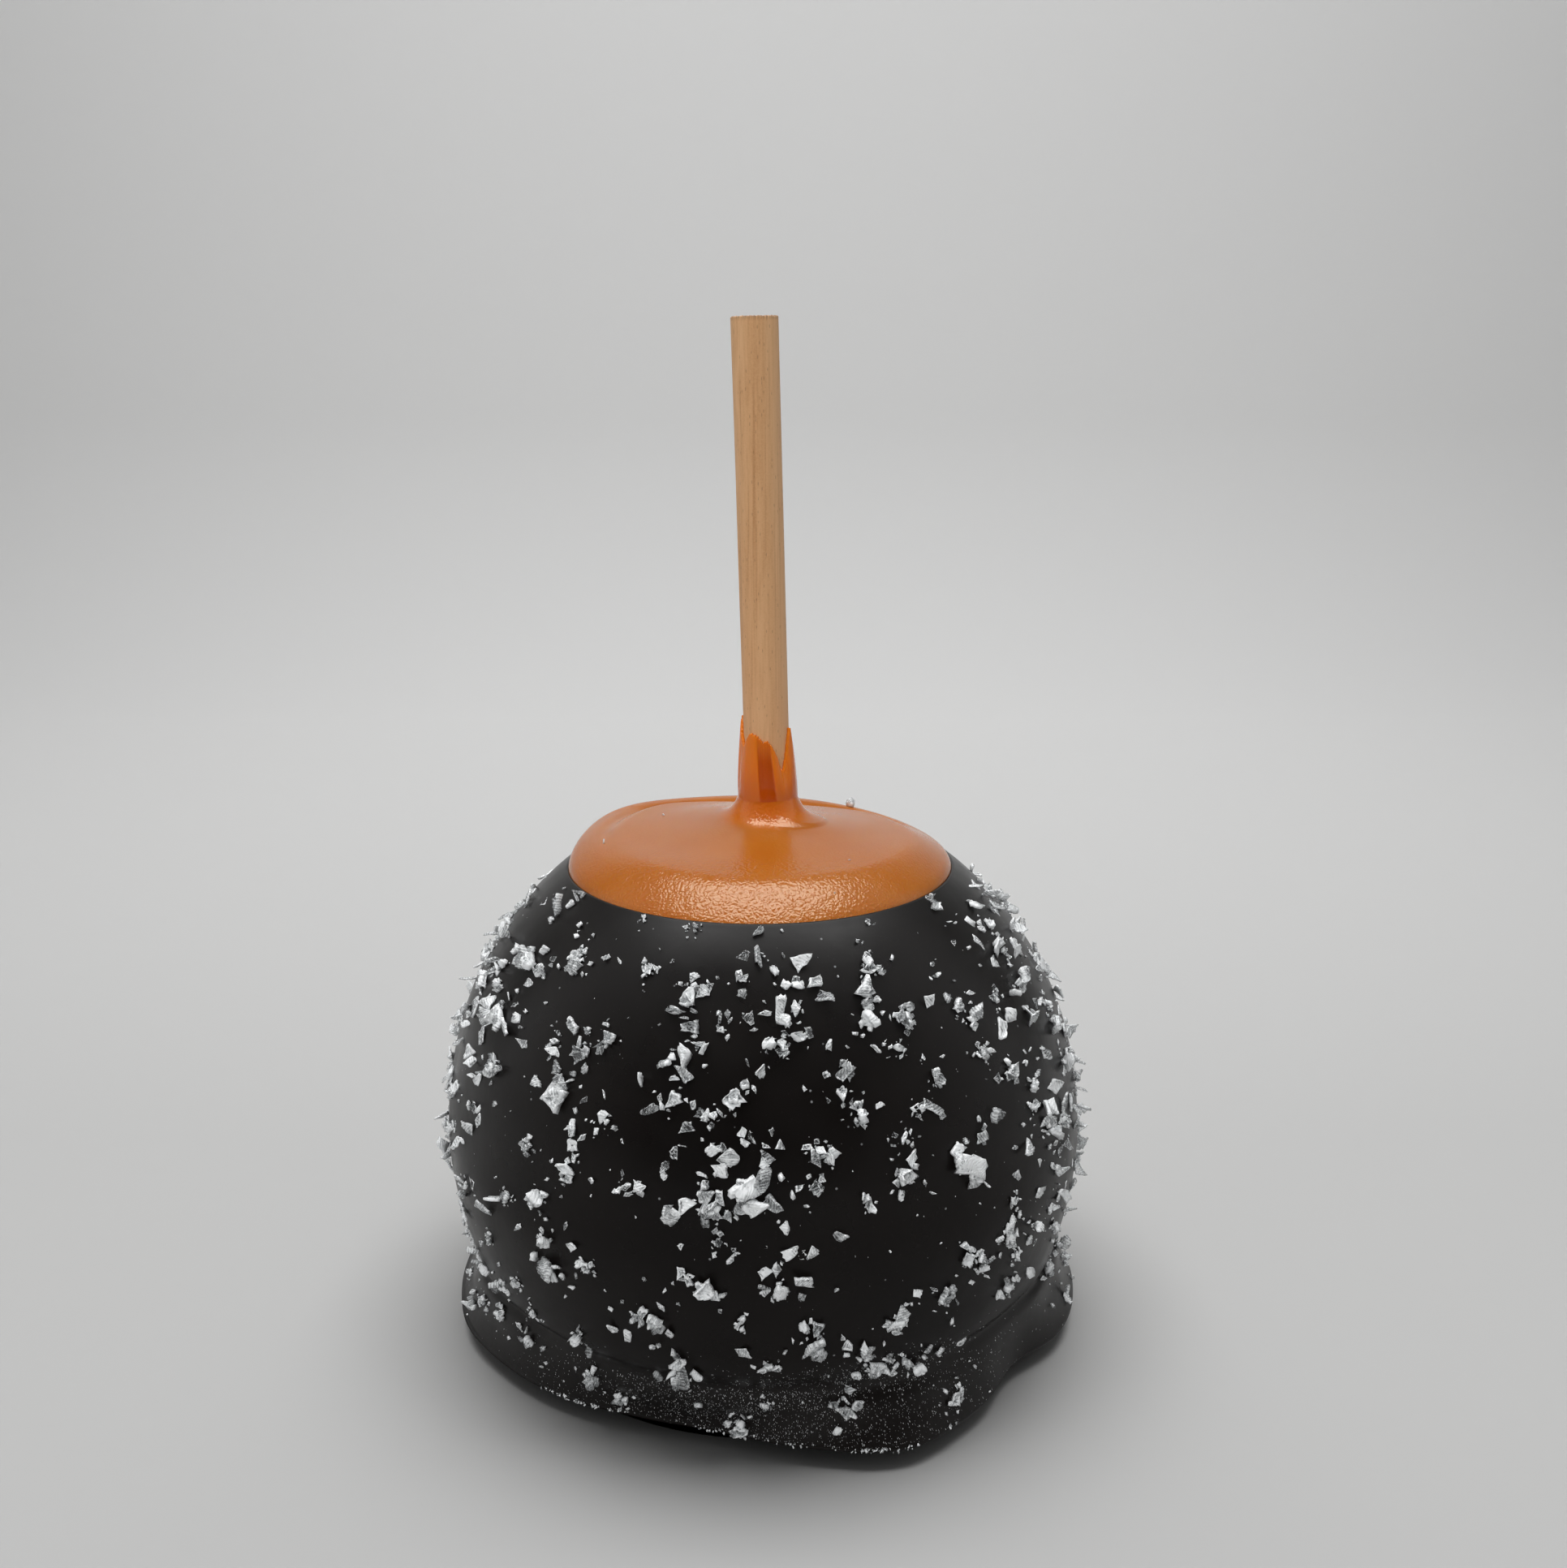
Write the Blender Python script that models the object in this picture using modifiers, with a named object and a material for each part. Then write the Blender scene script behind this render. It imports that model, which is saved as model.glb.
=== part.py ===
"""A chocolate-dipped caramel toffee apple on a wooden stick, standing on its own foot of set chocolate.

Metres, +Z up. The origin is on the floor, in the middle of the flat underside. The front is -Y.
Three sub-parts, each with its own material:
  caramel    the whole body inside the chocolate, its bare cap, and the collar that climbs the stick
  chocolate  the shell over the body, from the clean edge round the cap to the spread foot
  stick      a round dowel pushed down into the caramel
"""

import math

import bpy
import numpy as np

MM = 0.001

# The pieces keep this distance from each other.
GAP = 0.3 * MM

# Every section of the body is a ring of this many points.
SEGMENTS = 64

# Body: two quarter ovals that meet at the girth. An oval is (radius / R)^n + (height / H)^n = 1.
GIRTH_RADIUS = 46.2 * MM
GIRTH_HEIGHT = 30.0 * MM
UPPER_HEIGHT = 47.4 * MM
UPPER_POWER = 2.02
LOWER_HEIGHT = 58.4 * MM
LOWER_POWER = 1.75
BODY_LEAN = -0.012  # sideways shift of a section per metre above the girth

# Chocolate shell.
SHELL_WALL = 2.0 * MM
EDGE_WALL = 0.8 * MM
EDGE_HEIGHT = 68.2 * MM  # the clean upper edge
THINNING = 9.0 * MM  # height over which the wall thins to the edge
FLOOR_WALL = 3.0 * MM
INNER_LOWER_POWER = 3.2

# Foot: the chocolate that ran down and set on the sheet. Its rim stands off the floor and rolls under.
FOOT_RADIUS = 46.0 * MM
RIM_HEIGHT = 3.0 * MM
ROLL_UNDER = 3.6 * MM
UNDER_POWER = 1.6  # 1 would make the underside of the lip round, 2 straight
FLARE_HEIGHT = 9.5 * MM  # over which the skirt draws in from the rim to the body
FLARE_DRAW = 3.2 * MM
CREASE_SOFTNESS = 1.5 * MM
CREASE_HEIGHT = 10.8 * MM
CREASE_SPREAD = 1.8 * MM
FOOT_TOP = 15.0 * MM
# Directions round the foot: degrees from +X, the step outwards, the half width in degrees.
FOOT_LOBES = (
    (222.0, -1.9 * MM, 20.0),
    (255.0, -7.6 * MM, 26.0),
    (293.0, 1.4 * MM, 9.0),
    (323.0, -3.2 * MM, 11.0),
    (355.0, 0.7 * MM, 16.0),
    (40.0, -1.5 * MM, 18.0),
    (80.0, 1.0 * MM, 20.0),
    (130.0, -1.8 * MM, 16.0),
    (160.0, 0.6 * MM, 12.0),
)
FRONT_OVERHANG = ((268.0, 4.2 * MM, 48.0),)  # more of the rim hangs free at the front
FRONT_CREASE = ((262.0, 1.0 * MM, 55.0),)  # and the crease above it is deeper

# Stick.
STICK_RADIUS = 3.175 * MM
STICK_LENGTH = 114.3 * MM
STICK_TOP = 143.3 * MM
STICK_LEAN = -0.0248  # sideways shift per metre of height
STICK_AT_CAP = (0.78 * MM, 0.0)  # where its axis passes CAP_LEVEL
CAP_LEVEL = 74.35 * MM
STICK_BEVEL = 0.2 * MM
STICK_SIDES = 48

# Cap: a flat shoulder that rolls over at its rim, a low mound on it with a crest, and a fillet up to
# the collar.
CAP_RADIUS = 27.4 * MM
CAP_EDGE = 67.8 * MM
# Where its rings are, from its rim in to the collar.
CAP_SHARES = (0.012, 0.03, 0.07, 0.12, 0.175, 0.23, 0.285, 0.34, 0.42, 0.5, 0.6, 0.75, 0.88, 0.955)
SHOULDER_RISE = 3.4 * MM
SHOULDER_POWER = 14.0
SHOULDER_ROOT = 0.5
ROLL_POWER = ((268.0, -6.0, 60.0), (95.0, 12.0, 60.0))  # the shoulder rolls over gently in front
ROLL_ROOT = ((268.0, 0.4, 60.0),)
CAP_SWELL = (  # the rim stands higher on one side
    (148.0, 2.6 * MM, 30.0),
    (98.0, 0.5 * MM, 32.0),
    (28.0, -1.1 * MM, 38.0),
)
SWELL_POWER = 6.0
MOUND_RISE = 2.4 * MM
MOUND_SPREAD = 13.5 * MM
MOUND_POWER = 2.5
CREST_RISE = 1.4 * MM
CREST_DIP = ((50.0, -0.4 * MM, 50.0), (140.0, 0.3 * MM, 40.0))
CREST_RADIUS = 23.8 * MM
CREST_INWARDS = ((86.0, -10.2 * MM, 44.0),)  # the crest runs nearer to the stick at the back
CREST_WIDTH = 6.0 * MM
CREST_NARROWING = ((80.0, -2.4 * MM, 75.0),)
VALLEY = ((135.0, -1.1 * MM, 46.0), (48.0, -1.2 * MM, 26.0))  # between the crest and the rim behind
VALLEY_RADIUS = 22.1 * MM
VALLEY_WIDTH = 1.4 * MM
FILLET_RISE = 2.8 * MM
FILLET_SPREAD = 1.1 * MM

# Collar: the caramel that stayed on the stick. Its upper edge is torn into tongues with a deep notch.
COLLAR_RADIUS = 4.25 * MM
COLLAR_TIP_RADIUS = 3.65 * MM
COLLAR_THINNING = 1.6  # the power with which the wall thins towards the tips
COLLAR_TOP = 85.8 * MM
# The direction in degrees from +X, the step upwards, the half width.
COLLAR_TONGUES = (
    (228.0, 2.0 * MM, 20.0),
    (276.0, 1.0 * MM, 14.0),
    (310.0, -4.2 * MM, 11.0),
    (352.0, 2.3 * MM, 15.0),
    (60.0, 1.2 * MM, 16.0),
    (108.0, -1.6 * MM, 14.0),
    (163.0, 4.6 * MM, 13.0),
)

ANGLES = np.linspace(0.0, 2.0 * math.pi, SEGMENTS, endpoint=False)


def smooth_step(low, high, value):
    """0 below low, 1 above high, and an even S between them."""
    share = np.clip((value - low) / (high - low), 0.0, 1.0)
    return share * share * (3.0 - 2.0 * share)


def lobes(bumps):
    """For each angle, the sum of rounded bumps, each (direction in degrees, height, half width)."""
    total = np.zeros_like(ANGLES)
    for direction, height, width in bumps:
        turn = (np.degrees(ANGLES) - direction + 180.0) % 360.0 - 180.0
        total += height * np.exp(-((turn / width) ** 2))
    return total


def oval(height, radius, upper, lower, lower_power):
    """The radius of a section at this height, for the body shrunk to the given quarter ovals."""
    rise = height - GIRTH_HEIGHT
    if rise >= 0:
        share, power = min(1.0, rise / upper), UPPER_POWER
    else:
        share, power = min(1.0, -rise / lower), lower_power
    return radius * (1.0 - share**power) ** (1.0 / power)


def body_radius(height):
    """The outside of the body, with no foot."""
    return oval(height, GIRTH_RADIUS, UPPER_HEIGHT, LOWER_HEIGHT, LOWER_POWER)


def wall_at(height):
    """The shell's wall, which thins towards the upper edge."""
    thin = smooth_step(EDGE_HEIGHT - THINNING, EDGE_HEIGHT, height)
    return SHELL_WALL + (EDGE_WALL - SHELL_WALL) * thin


def inner_radius(height, clearance=0.0):
    """The inside of the shell, or the caramel in it when a clearance is given."""
    inset = wall_at(height) + clearance
    depth = GIRTH_HEIGHT - FLOOR_WALL - clearance
    upper = UPPER_HEIGHT - inset
    return oval(height, GIRTH_RADIUS - inset, upper, depth, INNER_LOWER_POWER)


def body_axis(height):
    """Where the body's axis is at this height. It leans a little to one side."""
    return BODY_LEAN * (height - GIRTH_HEIGHT), 0.0


def stick_axis(height):
    """Where the stick's axis is at this height."""
    return STICK_AT_CAP[0] + STICK_LEAN * (height - CAP_LEVEL), STICK_AT_CAP[1]


def ring(radius, height, middle=None):
    """One section: radius and height may be numbers or one value for each angle."""
    height = height + np.zeros_like(ANGLES)
    middle_x, middle_y = body_axis(height) if middle is None else middle
    x = radius * np.cos(ANGLES) + middle_x
    y = radius * np.sin(ANGLES) + middle_y
    return np.stack([x, y, height], axis=1)


def skirt_ring(height):
    """A section of the foot above its rim.

    The skirt draws in from the rim as it climbs, and its lobes fade. The section is the larger of
    skirt and body, with the step between them softened, less the crease.
    """
    rim = FOOT_RADIUS + lobes(FOOT_LOBES)
    drawn = 1.0 - math.exp(-2.0 * (height - RIM_HEIGHT) / FLARE_HEIGHT)
    skirt = rim + (FOOT_RADIUS - FLARE_DRAW - rim) * drawn
    body = body_radius(height)
    softness = CREASE_SOFTNESS * smooth_step(RIM_HEIGHT, CREASE_HEIGHT, height)
    softness *= 1.0 - smooth_step(CREASE_HEIGHT, FOOT_TOP, height)
    joined = 0.5 * (skirt + body + np.sqrt((skirt - body) ** 2 + softness**2))
    crease = lobes(FRONT_CREASE) * math.exp(-(((height - CREASE_HEIGHT) / CREASE_SPREAD) ** 2))
    return ring(joined - crease, height)


def under_ring(share):
    """A section of the undercut below the lip, from the floor at 0 to the rim at 1."""
    rim = FOOT_RADIUS + lobes(FOOT_LOBES)
    under = ROLL_UNDER + lobes(FRONT_OVERHANG)
    turn = 0.5 * math.pi * share
    radius = rim - under * (1.0 - math.sin(turn) ** UNDER_POWER)
    return ring(radius, RIM_HEIGHT * (1.0 - max(0.0, math.cos(turn)) ** UNDER_POWER))


def cap_height(radius):
    """The cap's surface, clear of the shell's edge: shoulder, mound, crest, valley and fillet added up."""
    share = min(1.0, radius / CAP_RADIUS)
    rise = SHOULDER_RISE + lobes(CAP_SWELL) * share**SWELL_POWER
    fall = 1.0 - share ** (SHOULDER_POWER + lobes(ROLL_POWER))
    shoulder = rise * fall ** (SHOULDER_ROOT + lobes(ROLL_ROOT))
    mound = MOUND_RISE * math.exp(-((radius / MOUND_SPREAD) ** MOUND_POWER))
    crest_at = CREST_RADIUS + lobes(CREST_INWARDS)
    half = 0.5 * (CREST_WIDTH + lobes(CREST_NARROWING))
    crest = (CREST_RISE + lobes(CREST_DIP)) * (1.0 - smooth_step(crest_at - half, crest_at + half, radius))
    valley = lobes(VALLEY) * math.exp(-(((radius - VALLEY_RADIUS) / VALLEY_WIDTH) ** 2))
    fillet = FILLET_RISE * math.exp(-(radius - COLLAR_RADIUS) / FILLET_SPREAD)
    return np.maximum(CAP_EDGE + shoulder + mound + crest + valley + fillet, EDGE_HEIGHT + GAP)


def cap_ring(radius):
    """A section of the cap. Its middle moves from the body's axis to the stick's as it narrows."""
    height = cap_height(radius)
    share = (CAP_RADIUS - radius) / (CAP_RADIUS - COLLAR_RADIUS)
    body_x, body_y = body_axis(height)
    stick_x, stick_y = stick_axis(height)
    middle = (body_x + (stick_x - body_x) * share, body_y + (stick_y - body_y) * share)
    return ring(radius, height, middle)


def collar_ring(share):
    """A section of the collar, from its foot at 0 to its torn edge at 1."""
    foot = cap_height(COLLAR_RADIUS)
    edge = COLLAR_TOP + lobes(COLLAR_TONGUES)
    height = foot + (edge - foot) * share
    radius = COLLAR_RADIUS + (COLLAR_TIP_RADIUS - COLLAR_RADIUS) * share**COLLAR_THINNING
    return ring(radius, height, stick_axis(height))


def socket_ring(height):
    """A section of the hole that the stick is in."""
    return ring(STICK_RADIUS + GAP, height, stick_axis(height))


def levels(first, last, count):
    """Evenly spaced values, both ends included."""
    return np.linspace(first, last, count).tolist()


def rounded_levels(first, last, count):
    """Values that crowd towards both ends, where an oval turns fastest."""
    shares = 0.5 - 0.5 * np.cos(np.linspace(0.0, math.pi, count))
    return (first + (last - first) * shares).tolist()


def loft(name, rings, start, end):
    """A closed solid skinned over rings of SEGMENTS points, with a single point at each end."""
    points = np.concatenate([[start], *rings, [end]])
    faces = []
    for row in range(len(rings) - 1):
        for column in range(SEGMENTS):
            a = 1 + row * SEGMENTS + column
            b = 1 + row * SEGMENTS + (column + 1) % SEGMENTS
            faces.append((a, b, b + SEGMENTS, a + SEGMENTS))
    last = 1 + (len(rings) - 1) * SEGMENTS
    for column in range(SEGMENTS):
        after = (column + 1) % SEGMENTS
        faces.append((0, 1 + after, 1 + column))
        faces.append((len(points) - 1, last + column, last + after))
    mesh = bpy.data.meshes.new(name)
    mesh.from_pydata(points.tolist(), [], faces)
    mesh.validate()
    mesh.shade_smooth()
    mesh.set_sharp_from_angle(angle=math.radians(50.0))
    return bpy.data.objects.new(name, mesh)


def make_chocolate():
    """The shell, from the middle of its underside, out, over the top edge and down its inside."""
    rings = [ring(0.5 * GIRTH_RADIUS, 0.0)]
    rings += [under_ring(share) for share in levels(0.0, 1.0, 6)]
    rings += [skirt_ring(height) for height in levels(RIM_HEIGHT, FOOT_TOP, 9)[1:]]
    sides = levels(FOOT_TOP, EDGE_HEIGHT, 14)[1:]
    rings += [ring(body_radius(height), height) for height in sides]
    inside = rounded_levels(EDGE_HEIGHT, FLOOR_WALL, 14)
    rings += [ring(inner_radius(height), height) for height in inside[:-1]]
    return loft("chocolate", rings, (0.0, 0.0, 0.0), (0.0, 0.0, FLOOR_WALL))


def make_caramel():
    """The body inside the shell, then the cap, the collar, and the stick's hole down to its end."""
    floor = FLOOR_WALL + GAP
    sides = rounded_levels(floor, EDGE_HEIGHT, 13)[1:]
    rings = [ring(inner_radius(height, GAP), height) for height in sides]
    rings.append(ring(inner_radius(EDGE_HEIGHT, GAP), EDGE_HEIGHT + GAP))
    reach = CAP_RADIUS - COLLAR_RADIUS
    rings += [cap_ring(CAP_RADIUS - reach * share) for share in CAP_SHARES]
    rings += [collar_ring(share) for share in levels(0.0, 1.0, 4)]
    edge = COLLAR_TOP + lobes(COLLAR_TONGUES)
    rings.append(socket_ring(edge))
    bottom = STICK_TOP - STICK_LENGTH - GAP
    rings += [socket_ring(height) for height in (CAP_LEVEL, 0.5 * (CAP_LEVEL + bottom), bottom)]
    deepest = (*stick_axis(bottom), bottom)
    return loft("caramel", rings, (0.0, 0.0, floor), deepest)


def make_stick():
    """The dowel, leaning a little to one side, with its two end edges eased."""
    tilt = math.atan(STICK_LEAN)
    middle_height = STICK_TOP - 0.5 * STICK_LENGTH * math.cos(tilt)
    bpy.ops.mesh.primitive_cylinder_add(
        vertices=STICK_SIDES,
        radius=STICK_RADIUS,
        depth=STICK_LENGTH,
        location=(*stick_axis(middle_height), middle_height),
        rotation=(0.0, tilt, 0.0),
    )
    stick = bpy.context.object
    stick.name = "stick"
    stick.data.name = "stick"
    stick.data.shade_smooth()
    stick.data.set_sharp_from_angle(angle=math.radians(50.0))
    eased = stick.modifiers.new("eased ends", "BEVEL")
    eased.width = STICK_BEVEL
    eased.segments = 2
    eased.limit_method = "ANGLE"
    eased.angle_limit = math.radians(60.0)
    return stick


def finish(name, colour, roughness, coat=0.0):
    """A Principled material: colour is linear red, green and blue."""
    material = bpy.data.materials.new(name)
    material.use_nodes = True
    shader = material.node_tree.nodes["Principled BSDF"]
    shader.inputs["Base Color"].default_value = (*colour, 1.0)
    shader.inputs["Roughness"].default_value = roughness
    shader.inputs["Metallic"].default_value = 0.0
    shader.inputs["Coat Weight"].default_value = coat
    return material


def clear_scene():
    """Takes away what the new file starts with."""
    for thing in list(bpy.data.objects):
        bpy.data.objects.remove(thing, do_unlink=True)


def main():
    clear_scene()
    parts = bpy.data.collections.new("toffee apple")
    bpy.context.scene.collection.children.link(parts)
    pieces = (
        (make_caramel(), finish("caramel", (0.50, 0.19, 0.06), 0.25, coat=0.5)),
        (make_chocolate(), finish("dark chocolate", (0.012, 0.009, 0.008), 0.35)),
        (make_stick(), finish("birch", (0.42, 0.25, 0.13), 0.6)),
    )
    for piece, material in pieces:
        for holder in list(piece.users_collection):
            holder.objects.unlink(piece)
        parts.objects.link(piece)
        piece.data.materials.clear()
        piece.data.materials.append(material)


main()
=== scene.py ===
"""Looks of a chocolate-dipped caramel toffee apple: fine surfaces, finishes, salt, stage, light and camera.

Metres, +Z up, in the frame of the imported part. The front is -Y. Directions round the apple are in degrees
from +X towards +Y, so the front is at 270.
"""

import logging
import math
from collections.abc import Mapping, Sequence
from dataclasses import dataclass, field
from enum import Enum

import bpy
import numpy as np
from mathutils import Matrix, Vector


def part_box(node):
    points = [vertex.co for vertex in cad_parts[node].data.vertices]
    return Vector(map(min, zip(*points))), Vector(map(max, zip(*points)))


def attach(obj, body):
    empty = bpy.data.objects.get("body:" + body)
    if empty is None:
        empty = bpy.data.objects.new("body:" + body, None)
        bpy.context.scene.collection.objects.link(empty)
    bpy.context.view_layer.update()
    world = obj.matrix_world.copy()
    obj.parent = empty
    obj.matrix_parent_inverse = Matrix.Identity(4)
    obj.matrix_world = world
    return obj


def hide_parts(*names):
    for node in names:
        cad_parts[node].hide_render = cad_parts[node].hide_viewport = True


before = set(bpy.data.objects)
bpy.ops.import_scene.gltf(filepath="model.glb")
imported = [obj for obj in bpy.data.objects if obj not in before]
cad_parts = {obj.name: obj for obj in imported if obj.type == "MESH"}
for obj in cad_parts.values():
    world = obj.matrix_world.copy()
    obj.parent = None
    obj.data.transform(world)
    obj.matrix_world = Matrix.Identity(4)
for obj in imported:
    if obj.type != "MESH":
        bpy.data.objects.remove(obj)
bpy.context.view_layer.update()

LOG = logging.getLogger("toffee apple")
BODY = "root"
MM = 0.001

Array = np.ndarray
Colour = tuple[float, float, float]

# The places that the frame gives: the top of each piece, and the middle of the stick's two ends.
STICK_LOW, STICK_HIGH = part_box("stick")
COAT_LOW, COAT_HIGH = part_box("chocolate")
CARAMEL_LOW, CARAMEL_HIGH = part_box("caramel")


# ---------------------------------------------------------------- numbers and curves


def smooth_step(low: float | Array, high: float | Array, value: float | Array) -> Array:
    """0 below low, 1 above high, and between them an even S: 3 s^2 - 2 s^3 of the share s.

    Args:
        low: where the S starts.
        high: where it ends.
        value: the values to place on it.

    Returns:
        The height of the S at each value.
    """
    share = np.clip((value - low) / (high - low), 0.0, 1.0)
    return share * share * (3.0 - 2.0 * share)


def turn_from(direction: float | Array, angles: Array) -> Array:
    """How many degrees each angle lies past a direction, from -180 to 180."""
    return (np.degrees(angles) - direction + 180.0) % 360.0 - 180.0


@dataclass(frozen=True)
class Swell:
    """A rounded swelling, or a dent, that spreads to both sides of one direction."""

    direction: float
    step: float
    half_width: float

    def at(self, angles: Array) -> Array:
        """The step at each angle: step * exp(-(turn / half width)^2)."""
        return self.step * np.exp(-((turn_from(self.direction, angles) / self.half_width) ** 2))


def swells(angles: Array, parts: Sequence[Swell]) -> Array:
    """The sum of several swellings at each angle."""
    return sum((part.at(angles) for part in parts), np.zeros_like(angles))


def even_rows(across: Array, up: Array, count: int) -> Array:
    """Places along a profile that are evenly spaced by its length.

    Args:
        across: one coordinate of a finely sampled profile.
        up: the other one.
        count: how many places are wanted.

    Returns:
        The first coordinate at count places, both ends included.
    """
    steps = np.hypot(np.diff(across), np.diff(up))
    length = np.concatenate([[0.0], np.cumsum(steps)])
    return np.interp(np.linspace(0.0, length[-1], count), length, across)


class Waves:
    """Soft unevenness that closes round the apple: a sum of sines of the angle and the height."""

    def __init__(self, seed: int, count: int, turns: tuple[int, int], climb: float) -> None:
        """Draws the waves.

        Args:
            seed: start of the random numbers.
            count: how many sines are added.
            turns: the fewest and the most waves round the apple.
            climb: the most waves for each metre of height.
        """
        rng = np.random.default_rng(seed)
        self.turns = rng.integers(turns[0], turns[1] + 1, count)
        self.climbs = rng.uniform(-climb, climb, count) * 2.0 * math.pi
        self.phases = rng.uniform(0.0, 2.0 * math.pi, count)
        self.heights = rng.uniform(0.4, 1.0, count)
        self.heights /= np.sqrt(0.5 * np.sum(self.heights**2))

    def at(self, angles: Array, heights: Array) -> Array:
        """The sum at each place, about -2 to 2: height_k sin(turns_k a + climb_k h + phase_k)."""
        total = np.zeros(np.broadcast(angles, heights).shape)
        for turns, climb, phase, height in zip(self.turns, self.climbs, self.phases, self.heights):
            total += height * np.sin(turns * angles + climb * heights + phase)
        return total


# ---------------------------------------------------------------- meshes


def mesh_of(name: str, points: Array, faces: Sequence[Array], smooth: bool = True) -> bpy.types.Object:
    """Makes an object from whole arrays.

    Args:
        name: name of the object.
        points: corners, one row each.
        faces: arrays of faces, one array for each number of corners.
        smooth: whether it is shaded smooth.

    Returns:
        The object, at the origin, in the scene.
    """
    mesh = bpy.data.meshes.new(name)
    corners = [len(block) * block.shape[1] for block in faces]
    starts, first = [], 0
    for block, total in zip(faces, corners):
        starts.append(first + np.arange(len(block)) * block.shape[1])
        first += total
    mesh.vertices.add(len(points))
    mesh.vertices.foreach_set("co", np.ascontiguousarray(points, np.float32).ravel())
    mesh.loops.add(first)
    mesh.loops.foreach_set("vertex_index", np.concatenate([block.ravel() for block in faces]).astype(np.int32))
    mesh.polygons.add(sum(len(block) for block in faces))
    mesh.polygons.foreach_set("loop_start", np.concatenate(starts).astype(np.int32))
    mesh.update(calc_edges=True)
    mesh.validate()
    if smooth:
        mesh.shade_smooth()
    piece = bpy.data.objects.new(name, mesh)
    bpy.context.scene.collection.objects.link(piece)
    return piece


def paint(piece: bpy.types.Object, name: str, values: Array) -> None:
    """Stores one number for each corner of the mesh, for a material to read."""
    attribute = piece.data.attributes.new(name, "FLOAT", "POINT")
    attribute.data.foreach_set("value", np.ascontiguousarray(values, np.float32).ravel())


def skin(name: str, rings: Array, start: Array, end: Array) -> bpy.types.Object:
    """A closed surface over a grid of rings, with a single point at each end.

    Args:
        name: name of the object.
        rings: rows x columns x 3. Rows run outwards and up from the start, columns towards +angle.
        start: the point that the first ring closes on.
        end: the point that the last ring closes on.

    Returns:
        The object.
    """
    rows, columns = rings.shape[:2]
    points = np.concatenate([[start], rings.reshape(-1, 3), [end]])
    here = 1 + np.arange(rows * columns).reshape(rows, columns)
    beside = np.roll(here, -1, axis=1)
    quads = np.stack([here[:-1], beside[:-1], beside[1:], here[1:]], axis=-1).reshape(-1, 4)
    first = np.stack([np.zeros(columns, int), beside[0], here[0]], axis=-1)
    last = np.stack([np.full(columns, len(points) - 1), here[-1], beside[-1]], axis=-1)
    return mesh_of(name, points, [quads, np.concatenate([first, last])])


def with_ends(rings: Array) -> Array:
    """The numbers of a grid with one more at each end, for the two end points of a skin."""
    return np.concatenate([[rings[0, 0]], rings.ravel(), [rings[-1, 0]]])


def ring_grid(radius: Array, height: Array, middle_x: Array, angles: Array) -> Array:
    """Points on level rings: middle + radius (cos a, sin a) at the given height."""
    shape = np.broadcast(radius, height, angles).shape
    x = middle_x + radius * np.cos(angles)
    y = radius * np.sin(angles)
    return np.stack([np.broadcast_to(value, shape) for value in (x, y, height)], axis=-1)


# ---------------------------------------------------------------- shader nodes


class NodeBench:
    """Puts nodes into one node tree and joins them."""

    def __init__(self, tree: bpy.types.NodeTree) -> None:
        """Works on the given tree."""
        self.tree = tree

    def put(self, kind: str, inputs: Mapping | None = None, **settings: object) -> bpy.types.Node:
        """Adds a node.

        Args:
            kind: Blender's name of the node.
            inputs: a value or another node's socket for each input named here.
            settings: the node's own properties.

        Returns:
            The node.
        """
        node = self.tree.nodes.new(kind)
        for name, value in settings.items():
            setattr(node, name, value)
        for name, value in (inputs or {}).items():
            self.feed(node.inputs[name], value)
        return node

    def feed(self, socket: bpy.types.NodeSocket, value: object) -> None:
        """Links another socket to this one, or sets its value."""
        if isinstance(value, bpy.types.NodeSocket):
            self.tree.links.new(value, socket)
        else:
            socket.default_value = value

    def figure(self, operation: str, first: object, second: object = 0.0) -> bpy.types.NodeSocket:
        """One step of arithmetic on two numbers."""
        return self.put("ShaderNodeMath", {0: first, 1: second}, operation=operation).outputs[0]

    def remap(self, value: object, low: object, high: object, to_low: object, to_high: object) -> bpy.types.NodeSocket:
        """Maps low..high to to_low..to_high, and holds the ends."""
        places = {"Value": value, "From Min": low, "From Max": high, "To Min": to_low, "To Max": to_high}
        return self.put("ShaderNodeMapRange", places).outputs[0]

    def tint(self, share: object, first: object, second: object) -> bpy.types.NodeSocket:
        """A colour between two, by a share from 0 to 1."""
        mix = self.put("ShaderNodeMix", data_type="RGBA")
        for place, value in ((0, share), (6, first), (7, second)):
            self.feed(mix.inputs[place], (*value, 1.0) if isinstance(value, tuple) else value)
        return mix.outputs[2]

    def group(self, effect: "Effect", **inputs: object) -> bpy.types.NodeSocket:
        """Places a shared effect with its own values and gives its only output."""
        node = self.put("ShaderNodeGroup", node_tree=effect.tree())
        for name, value in inputs.items():
            self.feed(node.inputs[name], value)
        return node.outputs[0]

    def own_coordinates(self) -> bpy.types.NodeSocket:
        """Object coordinates, which are metres in the frame."""
        return self.put("ShaderNodeTexCoord").outputs["Object"]

    def painted(self, name: str) -> bpy.types.NodeSocket:
        """The numbers stored on the mesh under a name."""
        return self.put("ShaderNodeAttribute", attribute_name=name).outputs["Fac"]


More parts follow.
